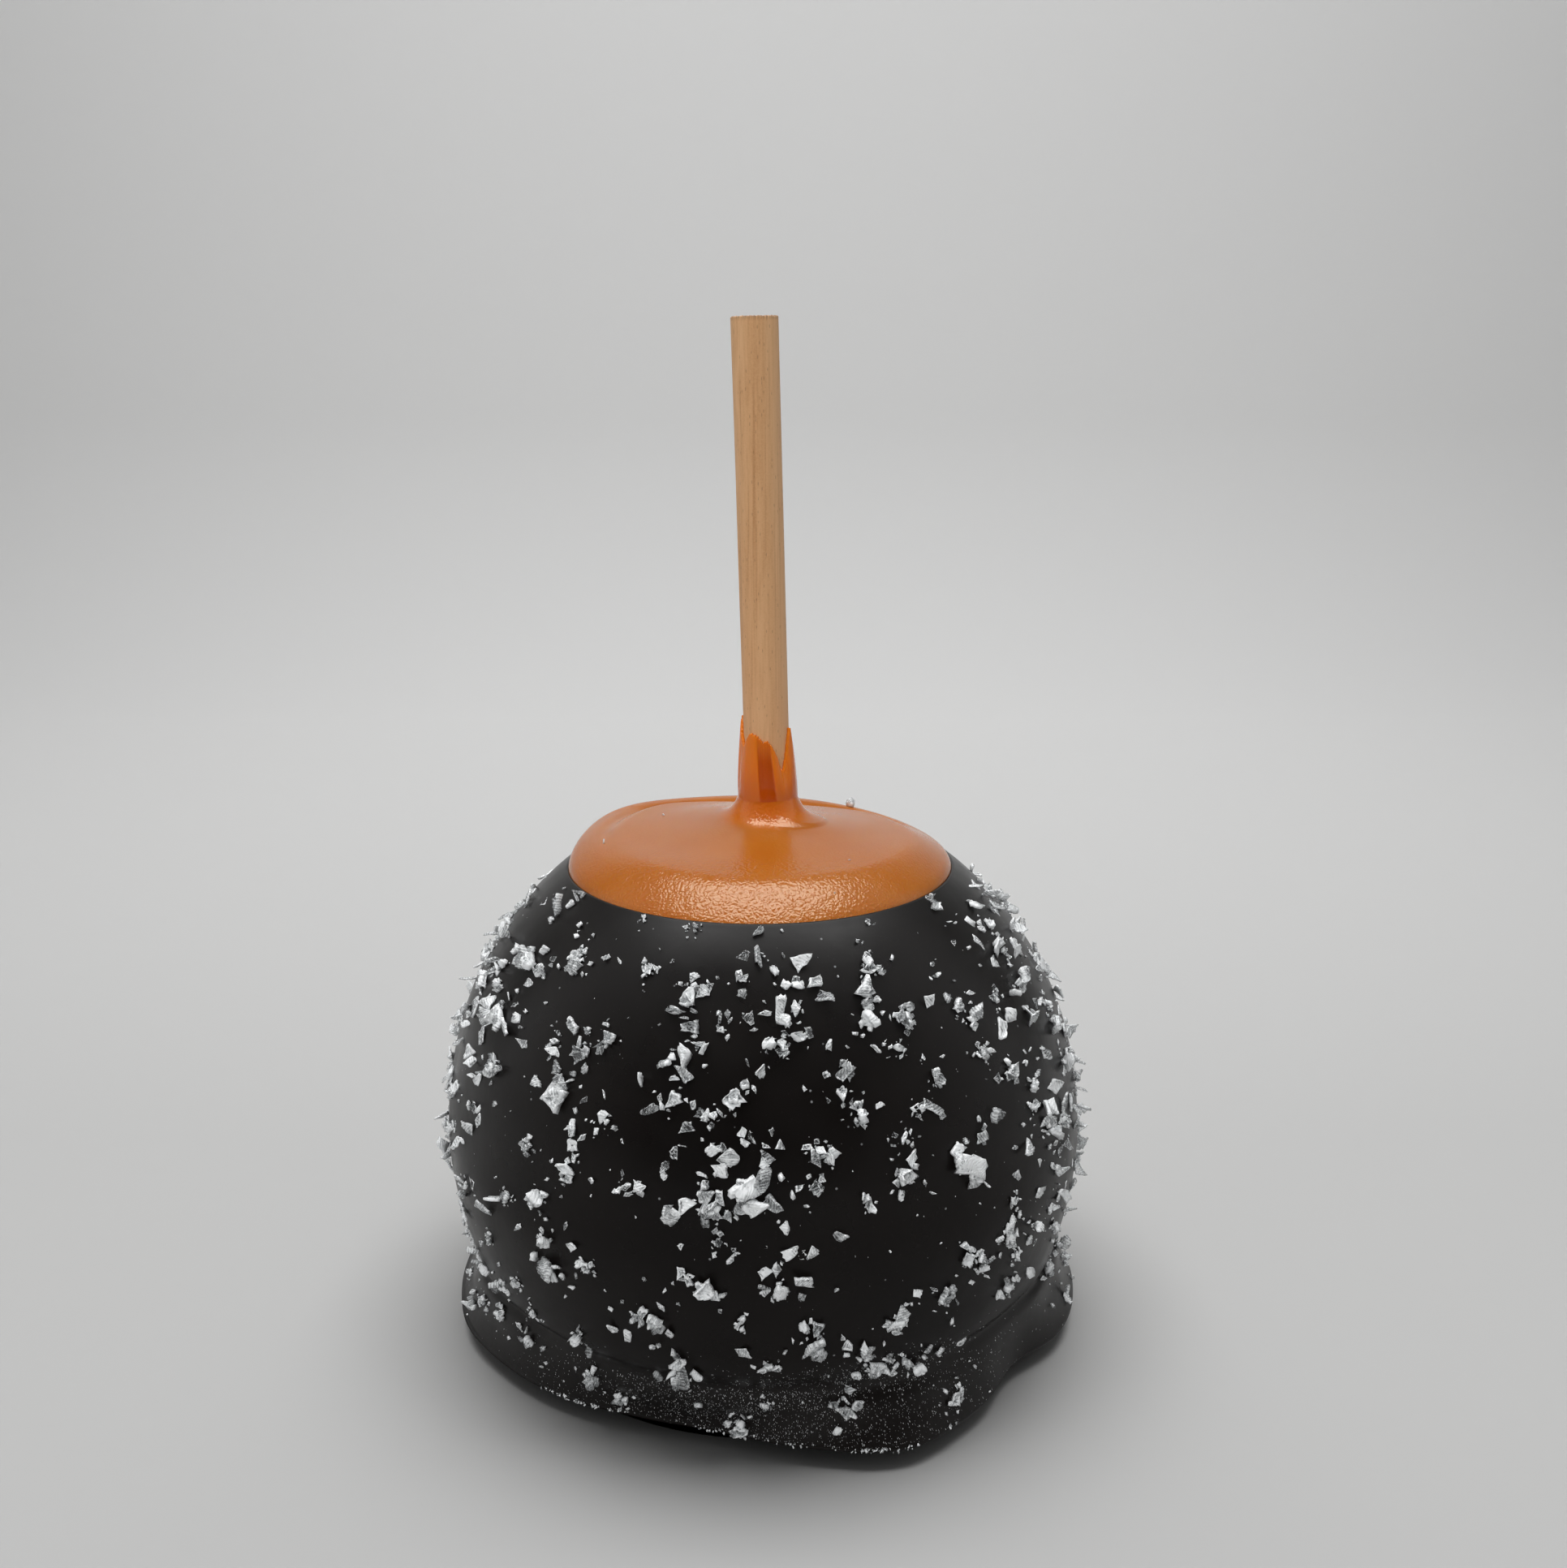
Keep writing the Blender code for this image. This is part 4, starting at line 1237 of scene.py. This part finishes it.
@dataclass
class Salt:
    """Coarse sea salt over the coat: clusters of flakes with shards and grains round them, and dust."""

    coat: Coat
    caramel: Caramel
    seed: int = 7
    lowest: float = 3.4 * MM
    highest: float = 67.9 * MM
    proud: float = 2.2 * MM
    clusters: int = 170
    loners: int = 260
    plates: int = 340
    # The clusters that stand out in front: their main crystal, direction, height in mm, width in mm.
    shown: tuple[tuple[Crystal, float, float, float], ...] = (
        (Crystal.FLAKE, 305.0, 40.0, 8.3),
        (Crystal.FLAKE, 268.0, 41.0, 9.0),
        (Crystal.FLAKE, 263.0, 38.5, 6.0),
        (Crystal.FLAKE, 263.0, 45.0, 3.8),
        (Crystal.SHARD, 279.0, 44.0, 4.2),
        (Crystal.HOPPER, 279.0, 41.0, 4.2),
        (Crystal.HOPPER, 293.0, 41.0, 5.4),
        (Crystal.HOPPER, 287.0, 38.0, 3.2),
        (Crystal.HOPPER, 266.0, 51.0, 5.4),
        (Crystal.FLAKE, 275.0, 60.0, 5.4),
        (Crystal.FLAKE, 277.0, 57.0, 4.4),
        (Crystal.FLAKE, 272.0, 56.5, 4.4),
        (Crystal.HOPPER, 295.0, 63.0, 4.2),
        (Crystal.FLAKE, 292.0, 61.0, 5.2),
        (Crystal.FLAKE, 291.0, 58.0, 5.2),
        (Crystal.FLAKE, 270.0, 65.0, 5.0),
        (Crystal.FLAKE, 256.0, 61.0, 4.8),
        (Crystal.HOPPER, 246.0, 63.0, 3.2),
        (Crystal.HOPPER, 323.0, 67.0, 3.8),
        (Crystal.SHARD, 335.0, 61.0, 4.8),
        (Crystal.SHARD, 335.0, 56.0, 5.2),
        (Crystal.FLAKE, 315.0, 56.0, 4.8),
        (Crystal.HOPPER, 285.0, 53.0, 3.8),
        (Crystal.HOPPER, 319.0, 48.0, 4.2),
        (Crystal.FLAKE, 234.0, 48.0, 6.0),
        (Crystal.HOPPER, 237.0, 53.0, 5.2),
        (Crystal.SHARD, 241.0, 55.0, 4.8),
        (Crystal.FLAKE, 257.0, 55.0, 6.0),
        (Crystal.FLAKE, 256.0, 50.0, 5.0),
        (Crystal.FLAKE, 211.0, 53.0, 6.4),
        (Crystal.SHARD, 216.0, 47.0, 4.8),
        (Crystal.FLAKE, 196.0, 54.0, 4.2),
        (Crystal.FLAKE, 214.0, 60.0, 6.4),
        (Crystal.SHARD, 209.0, 66.0, 5.4),
        (Crystal.FLAKE, 238.0, 40.0, 4.8),
        (Crystal.HOPPER, 233.0, 35.0, 4.8),
        (Crystal.FLAKE, 229.0, 41.0, 3.6),
        (Crystal.FLAKE, 234.0, 29.5, 4.0),
        (Crystal.FLAKE, 235.0, 26.0, 6.4),
        (Crystal.FLAKE, 262.0, 28.0, 6.6),
        (Crystal.FLAKE, 273.0, 28.0, 4.8),
        (Crystal.HOPPER, 264.0, 34.0, 3.0),
        (Crystal.FLAKE, 301.0, 23.0, 4.2),
        (Crystal.HOPPER, 308.0, 25.0, 3.6),
        (Crystal.FLAKE, 316.0, 19.0, 4.2),
        (Crystal.FLAKE, 321.0, 27.0, 3.6),
        (Crystal.FLAKE, 328.0, 38.0, 5.2),
        (Crystal.FLAKE, 253.0, 22.0, 5.4),
        (Crystal.SHARD, 257.0, 14.0, 7.6),
        (Crystal.FLAKE, 278.0, 20.0, 5.4),
        (Crystal.FLAKE, 287.0, 17.0, 4.8),
        (Crystal.FLAKE, 290.0, 13.5, 5.4),
        (Crystal.FLAKE, 297.0, 12.5, 5.0),
        (Crystal.FLAKE, 284.0, 8.0, 5.2),
        (Crystal.HOPPER, 304.0, 6.0, 4.0),
        (Crystal.HOPPER, 266.0, 4.0, 4.8),
        (Crystal.FLAKE, 222.0, 9.0, 3.6),
        (Crystal.SHARD, 242.0, 5.0, 3.6),
        (Crystal.FLAKE, 244.0, 47.0, 3.6),
        (Crystal.SHARD, 263.0, 59.0, 3.6),
        (Crystal.FLAKE, 297.0, 48.0, 2.4),
        (Crystal.FLAKE, 312.0, 57.0, 3.6),
        (Crystal.FLAKE, 254.0, 67.7, 2.4),
        (Crystal.SHARD, 239.0, 67.6, 1.4),
        (Crystal.SHARD, 300.0, 67.6, 1.4),
    )
    # Crystals on the bare cap: direction, distance from its middle in mm, size in mm.
    on_cap: tuple[tuple[float, float, float], ...] = (
        (57.0, 25.4, 4.0),
        (192.0, 22.3, 1.4),
        (160.0, 15.0, 0.7),
        (310.0, 19.0, 0.6),
        (95.0, 24.0, 0.9),
    )

    def anywhere(self, rng: np.random.Generator, count: int) -> tuple[Array, Array]:
        """Places spread evenly over the coat's area, as directions and heights."""
        height = np.linspace(self.lowest, self.highest - 1.5 * MM, 500)
        radius = self.coat.body.radius(height)
        area = radius * np.hypot(1.0, np.gradient(radius, height))
        share = np.cumsum(area) / np.sum(area)
        return rng.uniform(0.0, 360.0, count), np.interp(rng.uniform(0.0, 1.0, count), share, height)

    def apart(self, direction: Array, height: Array, room: float) -> Array:
        """Which places are far enough from the clusters that stand out in front."""
        shown = np.array([place[1:3] for place in self.shown])
        turn = (direction[:, None] - shown[None, :, 0] + 180.0) % 360.0 - 180.0
        aside = np.radians(turn) * self.coat.body.radius(height)[:, None]
        away = np.hypot(aside, height[:, None] - shown[None, :, 1] * MM)
        return away.min(axis=1) > room

    def around(self, rng: np.random.Generator, middles: Places, each: Array, spread: float, sizes: tuple[float, float]) -> Places:
        """Smaller crystals gathered round larger ones, raised where they lie on top of them.

        Args:
            rng: the random numbers.
            middles: the larger crystals.
            each: how many smaller ones lie round each.
            spread: how far out they lie, as a share of the larger one's size.
            sizes: the least and the most size, as shares of the larger one's.

        Returns:
            The smaller crystals.
        """
        owner = np.repeat(np.arange(len(each)), each)
        large = middles.size[owner]
        aside, above = rng.normal(0.0, 1.0, (2, len(owner))) * spread * large
        height = np.clip(middles.height[owner] + above, self.lowest, self.highest)
        direction = middles.direction[owner] + np.degrees(aside / self.coat.body.radius(middles.height[owner]))
        size = large * (sizes[0] + (sizes[1] - sizes[0]) * rng.beta(1.2, 2.6, len(owner)))
        near = np.clip(1.0 - np.hypot(aside, above) / (0.42 * large), 0.0, 1.0)
        return Places(direction, height, size.clip(0.22 * MM, None), near * 0.16 * large)

    def lay(
        self, rng: np.random.Generator, kind: Crystal, places: Places, shapes: Shapes, tilt: float, turned: float = 1.0
    ) -> bpy.types.Object:
        """Turns crystals on to the coat and joins them into one mesh.

        A point is place + x first + y second + z third, where the three axes are the coat's own after a
        spin and a tilt. Each crystal then sinks until its lowest point is just inside the coat.

        Args:
            rng: the random numbers.
            kind: the kind of crystal, whose name the piece takes.
            places: where they lie.
            shapes: the crystals in their own axes.
            tilt: the usual tilt off the surface, in degrees.
            turned: how much of a full turn they may be spun by.

        Returns:
            The joined piece.
        """
        angles = np.radians(places.direction)
        place = self.coat.surface(angles, places.height)
        along, up, out = self.coat.normals(angles, places.height)
        spin = rng.uniform(0.0, 2.0 * math.pi * turned, len(angles))[:, None]
        return self.join(rng, kind.value, (place, along, up, out), places, shapes, (spin, tilt))

    def join(
        self,
        rng: np.random.Generator,
        name: str,
        seats: tuple[Array, ...],
        places: Places,
        shapes: Shapes,
        turn: tuple[Array, float],
    ) -> bpy.types.Object:
        """Joins crystals that sit on the given seats, each a point and three axes, into one mesh."""
        place, along, up, out = seats
        spin, tilt = turn
        count = len(places.size)
        first = np.cos(spin) * along + np.sin(spin) * up
        second = np.cross(out, first)
        lift = np.radians(np.abs(rng.normal(0.0, tilt, count)).clip(0.0, 80.0))[:, None]
        raised = np.cos(lift) * first + np.sin(lift) * out
        axes = np.stack([raised, second, np.cross(raised, second)], axis=1)
        points = np.einsum("nvi,nij->nvj", shapes.points, axes)
        depth = np.einsum("nvj,nj->nv", points, out)
        sunk = np.minimum(0.10 * places.size, 0.2 * MM)
        depth = depth + (places.raised - depth.min(axis=1) - sunk)[:, None]
        flat = points - np.einsum("nvj,nj->nv", points, out)[..., None] * out[:, None]
        depth = depth - 0.85 * np.maximum(depth - self.proud, 0.0)
        points = place[:, None] + flat + depth[..., None] * out[:, None]
        points[..., 2] = np.maximum(points[..., 2], 0.15 * MM)
        faces = []
        for block in shapes.faces:
            shift = (np.arange(count) * points.shape[1])[:, None, None]
            faces.append((block[None] + shift).reshape(-1, block.shape[1]))
        piece = mesh_of(name, points.reshape(-1, 3), faces, smooth=False)
        paint(piece, "cloudy", np.clip(shapes.cloudy, 0.0, 1.0))
        paint(piece, "band", shapes.points[..., 0] / MM + 3.0 * spin)
        return piece

    def shown_of(self, kind: Crystal) -> Places:
        """The main crystals of the clusters that stand out in front."""
        rows = np.array([place[1:] for place in self.shown if place[0] is kind])
        return Places(rows[:, 0], rows[:, 1] * MM, 0.80 * rows[:, 2] * MM, np.zeros(len(rows)))

    def scattered(self, rng: np.random.Generator, count: int, sizes: tuple[float, float]) -> Places:
        """Crystals spread over the coat, few large and many small, clear of those that stand out."""
        direction, height = self.anywhere(rng, count)
        size = sizes[0] + (sizes[1] - sizes[0]) * rng.beta(1.4, 2.8, count)
        places = Places(direction, height, size, np.zeros(count))
        return places.only(self.apart(direction, height, 3.6 * MM))

    def build(self) -> list[bpy.types.Object]:
        """Makes one piece for each kind of crystal, and one for those on the cap."""
        rng = np.random.default_rng(self.seed)
        more = self.scattered(rng, self.clusters, (1.8 * MM, 4.4 * MM))
        lot = rng.uniform(0.0, 1.0, len(more.size))
        flakes = self.shown_of(Crystal.FLAKE) + more.only(lot < 0.55)
        hoppers = self.shown_of(Crystal.HOPPER) + more.only((lot >= 0.55) & (lot < 0.78))
        blades = self.shown_of(Crystal.SHARD) + more.only(lot >= 0.78)
        mains = flakes + hoppers + blades
        beside = self.around(rng, mains, rng.integers(2, 6, len(mains.size)), 0.32, (0.40, 0.95))
        loners = self.scattered(rng, self.loners, (0.8 * MM, 2.4 * MM))
        shards = self.around(rng, mains, rng.integers(2, 7, len(mains.size)), 0.42, (0.22, 0.65))
        crumbs = self.around(rng, mains, rng.integers(1, 6, len(mains.size)), 0.50, (0.12, 0.32))
        grains = self.scattered(rng, 160, (0.3 * MM, 1.1 * MM)) + self.on_lip(rng)
        flakes = flakes + beside + loners.only(loners.size > 1.2 * MM)
        standing = self.standing(rng)
        shards = blades + shards + loners.only(loners.size <= 1.2 * MM)
        grains = crumbs + grains
        dust = self.dust(rng)
        pieces = [
            self.lay(rng, Crystal.FLAKE, flakes, FLAKE_FORM.make(rng, flakes.size), 30.0),
            self.lay(rng, Crystal.HOPPER, hoppers, HOPPER_FORM.make(rng, hoppers.size), 20.0),
            self.lay(rng, Crystal.PLATE, standing, PLATE_FORM.make(rng, standing.size), 38.0),
            self.lay(rng, Crystal.SHARD, shards, SHARD_FORM.make(rng, shards.size), 35.0),
            self.lay(rng, Crystal.GRAIN, grains, make_grains(rng, grains.size), 40.0),
            self.lay(rng, Crystal.DUST, dust, make_specks(rng, dust.size), 10.0, turned=0.04),
            self.build_on_cap(rng),
        ]
        return pieces

    def build_on_cap(self, rng: np.random.Generator) -> bpy.types.Object:
        """Makes the few crystals on the bare caramel."""
        direction, radius, size = np.array(self.on_cap).T
        angles, radius, size = np.radians(direction), radius * MM, size * MM
        height = self.caramel.cap_height(radius, angles)
        x, y = radius * np.cos(angles), radius * np.sin(angles)
        place = np.stack([x + self.coat.body.axis(height), y, height], axis=-1)
        along = np.tile([1.0, 0.0, 0.0], (len(size), 1))
        up = np.tile([0.0, 1.0, 0.0], (len(size), 1))
        seats = (place, along, up, np.cross(along, up))
        places = Places(direction, height, size, np.zeros(len(size)))
        spin = rng.uniform(0.0, 2.0 * math.pi, (len(size), 1))
        return self.join(rng, "salt_on_cap", seats, places, SHARD_FORM.make(rng, size), (spin, 45.0))

    def standing(self, rng: np.random.Generator) -> Places:
        """Thin plates that stand off the coat, thickest on the two sides."""
        count = self.plates
        side = rng.choice([193.0, 345.0, 270.0, 80.0], count, p=[0.36, 0.34, 0.15, 0.15])
        direction = side + rng.normal(0.0, 15.0, count) + np.where((side > 0.0) & (side < 100.0), 40.0, 0.0)
        height = (16.0 + 50.0 * rng.beta(1.6, 1.1, count)) * MM
        size = (1.8 + 3.0 * rng.beta(1.5, 2.0, count)) * MM
        return Places(direction, height, size, np.zeros(count))

    def on_lip(self, rng: np.random.Generator) -> Places:
        """Crumbs caught on the edge of the foot's front lip, in short rows."""
        rows = rng.uniform(226.0, 296.0, 14)
        direction = rows[rng.integers(0, len(rows), 130)] + rng.normal(0.0, 1.8, 130)
        height = rng.uniform(2.9 * MM, 3.3 * MM, 130)
        return Places(direction, height, (0.2 + 0.7 * rng.beta(1.0, 2.5, 130)) * MM, np.zeros(130))

    def dust(self, rng: np.random.Generator) -> Places:
        """Dust: thin all over, thick on the front of the foot and in the groove above it."""
        over_all = self.anywhere(rng, 400)
        foot = (rng.normal(270.0, 22.0, 2600), rng.uniform(3.1 * MM, 10.5 * MM, 2600))
        groove = (rng.normal(286.0, 13.0, 700), rng.normal(12.5 * MM, 1.4 * MM, 700))
        direction, height = (np.concatenate(parts) for parts in zip(over_all, foot, groove))
        size = (0.06 + 0.16 * rng.beta(1.2, 3.0, len(direction))) * MM
        return Places(direction, np.clip(height, self.lowest, self.highest), size, np.zeros(len(size)))


# ---------------------------------------------------------------- stage, light and camera


@dataclass(frozen=True)
class Stage:
    """A pale sweep: a floor that curves up into a wall behind the apple. The paper is painted lighter towards the
    back: painted light on the far floor and the wall.
    """

    colour: Colour = (0.65, 0.65, 0.645)
    # The wall's lighter colour is painted light, blended in from the floor towards the back.
    wall_colour_with_painted_light: Colour = (0.95, 0.95, 0.945)
    half_width: float = 1.6
    front: float = -0.9
    bend_at: float = 0.42
    bend_radius: float = 0.12
    wall_top: float = 1.5

    def build(self) -> bpy.types.Object:
        """Makes the sweep: a floor line, a quarter circle and a wall line, carried sideways."""
        turn = np.linspace(0.0, 0.5 * math.pi, 40)
        y = np.concatenate([[self.front, 0.0], self.bend_at + self.bend_radius * np.sin(turn)])
        z = np.concatenate([[0.0, 0.0], self.bend_radius * (1.0 - np.cos(turn))])
        y, z = np.append(y, y[-1]), np.append(z, self.wall_top)
        x = np.array([-self.half_width, 0.0, self.half_width])
        points = np.stack(np.broadcast_arrays(x[None, :], y[:, None], z[:, None]), axis=-1)
        here = np.arange(points.shape[0] * 3).reshape(-1, 3)
        quads = np.stack([here[:-1, :-1], here[:-1, 1:], here[1:, 1:], here[1:, :-1]], axis=-1).reshape(-1, 4)
        sweep = mesh_of("sweep", points.reshape(-1, 3), [quads])
        material, bench, shader = new_material("pale paper")
        depth = bench.put("ShaderNodeSeparateXYZ", {0: bench.own_coordinates()}).outputs["Y"]
        share = bench.remap(depth, 0.05, self.bend_at + self.bend_radius, 0.0, 1.0)
        # The paper lightens from the floor near the apple to the wall: painted light that brightens the far floor and
        # the wall.
        bench.feed(shader.inputs["Base Color"], bench.tint(share, self.colour, self.wall_colour_with_painted_light))
        shader.inputs["Roughness"].default_value = 0.8
        shader.inputs["Specular IOR Level"].default_value = 0.15
        sweep.data.materials.append(material)
        return sweep


@dataclass(frozen=True)
class SoftBox:
    """One large soft light, placed in metres and aimed at a point.

    It may light only one collection, be hidden from mirror images, or be seen in nothing else.
    """

    name: str
    place: tuple[float, float, float]
    target: tuple[float, float, float]
    size: tuple[float, float]
    power: float
    only_on: str = ""
    mirrored: bool = True
    only_mirrored: bool = False
    tint: Colour = (1.0, 1.0, 1.0)

    def build(self) -> bpy.types.Object:
        """Makes the light."""
        light = bpy.data.lights.new(self.name, "AREA")
        light.shape = "RECTANGLE"
        light.size, light.size_y = self.size
        light.energy = self.power
        light.color = self.tint
        lamp = bpy.data.objects.new(self.name, light)
        lamp.visible_diffuse = not self.only_mirrored
        lamp.visible_glossy = self.mirrored
        if self.only_on:
            lamp.light_linking.receiver_collection = bpy.data.collections[self.only_on]
        bpy.context.scene.collection.objects.link(lamp)
        aim = np.array(self.target) - np.array(self.place)
        lamp.location = self.place
        flat = math.hypot(aim[0], aim[1])
        lamp.rotation_euler = (math.atan2(flat, -aim[2]), 0.0, math.atan2(-aim[0], aim[1]) if flat > 1e-6 else 0.0)
        return lamp


APPLE = "apple"
CAP = "caramel of the apple"
REST = "rest of the apple"

LIGHTS = (
    SoftBox("overhead", (0.0, 0.04, 0.75), (0.0, 0.0, 0.0), (0.66, 0.46), 4.35, mirrored=False),
    SoftBox("front fill", (-0.20, -0.75, 0.55), (0.0, 0.0, 0.06), (0.80, 0.50), 3.9, only_on=APPLE, mirrored=False),
    SoftBox(
        "gleam",
        (0.0, 0.0, 0.75),
        (0.0, 0.0, 0.0),
        (0.62, 0.33),
        4.4,
        only_on=CAP,
        only_mirrored=True,
        tint=(1.0, 0.97, 0.78),
    ),
    SoftBox("sheen", (0.0, 0.09, 0.75), (0.0, 0.0, 0.0), (0.80, 0.42), 3.0, only_on=REST, only_mirrored=True),
)


@dataclass(frozen=True)
class Tent:
    """A light tent all round, dimmer towards its opening in front, where the camera looks in.

    Only a part of its light fills the shadows: it is there for what the glossy coats mirror.
    """

    bright: float = 0.78
    dark: float = 0.02
    filling: float = 0.28
    lift: float = 0.05
    opening: tuple[float, float] = (-0.35, 0.85)
    paper: Colour = (0.47, 0.47, 0.465)

    def build(self) -> None:
        """Makes the world: bright, and darker the larger a direction's share towards the front is."""
        world = bpy.data.worlds.new("light tent")
        bpy.context.scene.world = world
        world.use_nodes = True
        bench = NodeBench(world.node_tree)
        ambient = world.node_tree.nodes["Background"]
        direction = bench.put("ShaderNodeTexCoord").outputs["Generated"]
        parts = bench.put("ShaderNodeSeparateXYZ", {0: direction})
        forwards = bench.figure("MULTIPLY", parts.outputs["Y"], -1.0)
        strength = bench.remap(forwards, self.opening[0], self.opening[1], self.bright, self.dark)
        path = bench.put("ShaderNodeLightPath")
        share = bench.remap(path.outputs["Is Diffuse Ray"], 0.0, 1.0, 1.0, self.filling)
        lift = bench.figure("MULTIPLY", path.outputs["Is Diffuse Ray"], self.lift)
        bench.feed(ambient.inputs["Strength"], bench.figure("ADD", bench.figure("MULTIPLY", strength, share), lift))
        ambient.inputs["Color"].default_value = (1.0, 1.0, 1.0, 1.0)
        paper = bench.put("ShaderNodeBackground", {"Color": (*self.paper, 1.0), "Strength": 1.0})
        seen = path.outputs["Is Camera Ray"]
        mix = bench.put("ShaderNodeMixShader", {0: seen, 1: ambient.outputs[0], 2: paper.outputs[0]})
        bench.feed(world.node_tree.nodes["World Output"].inputs["Surface"], mix.outputs[0])


@dataclass(frozen=True)
class Viewpoint:
    """The camera: in front and above, looking down a little."""

    place: tuple[float, float, float] = (2.9 * MM, -217.9 * MM, 134.8 * MM)
    pitch: float = 14.22
    focal_length: float = 36.35
    sensor: float = 36.0

    def build(self) -> None:
        """Makes the camera and gives it to the scene."""
        camera = bpy.data.cameras.new("camera")
        camera.lens = self.focal_length
        camera.sensor_width = self.sensor
        camera.clip_start = 0.01
        camera.clip_end = 20.0
        viewer = bpy.data.objects.new("camera", camera)
        viewer.location = self.place
        viewer.rotation_euler = (math.radians(90.0 - self.pitch), 0.0, 0.0)
        bpy.context.scene.collection.objects.link(viewer)
        bpy.context.scene.camera = viewer


def report(piece: bpy.types.Object) -> None:
    """Logs a piece's name and how many faces it has."""
    LOG.info("%s: %d faces", piece.name, len(piece.data.polygons))


def main() -> None:
    """Builds the apple, its salt, the stage, the lights and the camera, and logs how many faces each piece has."""
    logging.basicConfig(level=logging.INFO, format="%(name)s: %(message)s")
    bpy.context.scene.view_settings.view_transform = "Standard"
    Viewpoint().build()
    body = Body()
    coat = Coat(body)
    caramel = Caramel(body)
    made = (
        (coat.build(), ChocolateFinish(), "chocolate", "chocolate"),
        (caramel.build(), CaramelFinish(), "caramel", "caramel"),
        (Stick(body).build(), BirchFinish(), "stick", "wood"),
    )
    apple, cap, rest = (bpy.data.collections.new(name) for name in (APPLE, CAP, REST))
    for piece, finish, node, slot in made:
        piece.data.materials.append(finish.make())
        apple.objects.link(piece)
        (cap if node == "caramel" else rest).objects.link(piece)
        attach(piece, BODY)
        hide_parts(node)
        report(piece)
    salt_finish = SaltFinish().make()
    for piece in Salt(coat, caramel).build():
        piece.data.materials.append(salt_finish)
        apple.objects.link(piece)
        rest.objects.link(piece)
        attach(piece, BODY)
        report(piece)
    Stage().build()
    for light in LIGHTS:
        light.build()
    Tent().build()


if __name__ == "__main__":
    main()
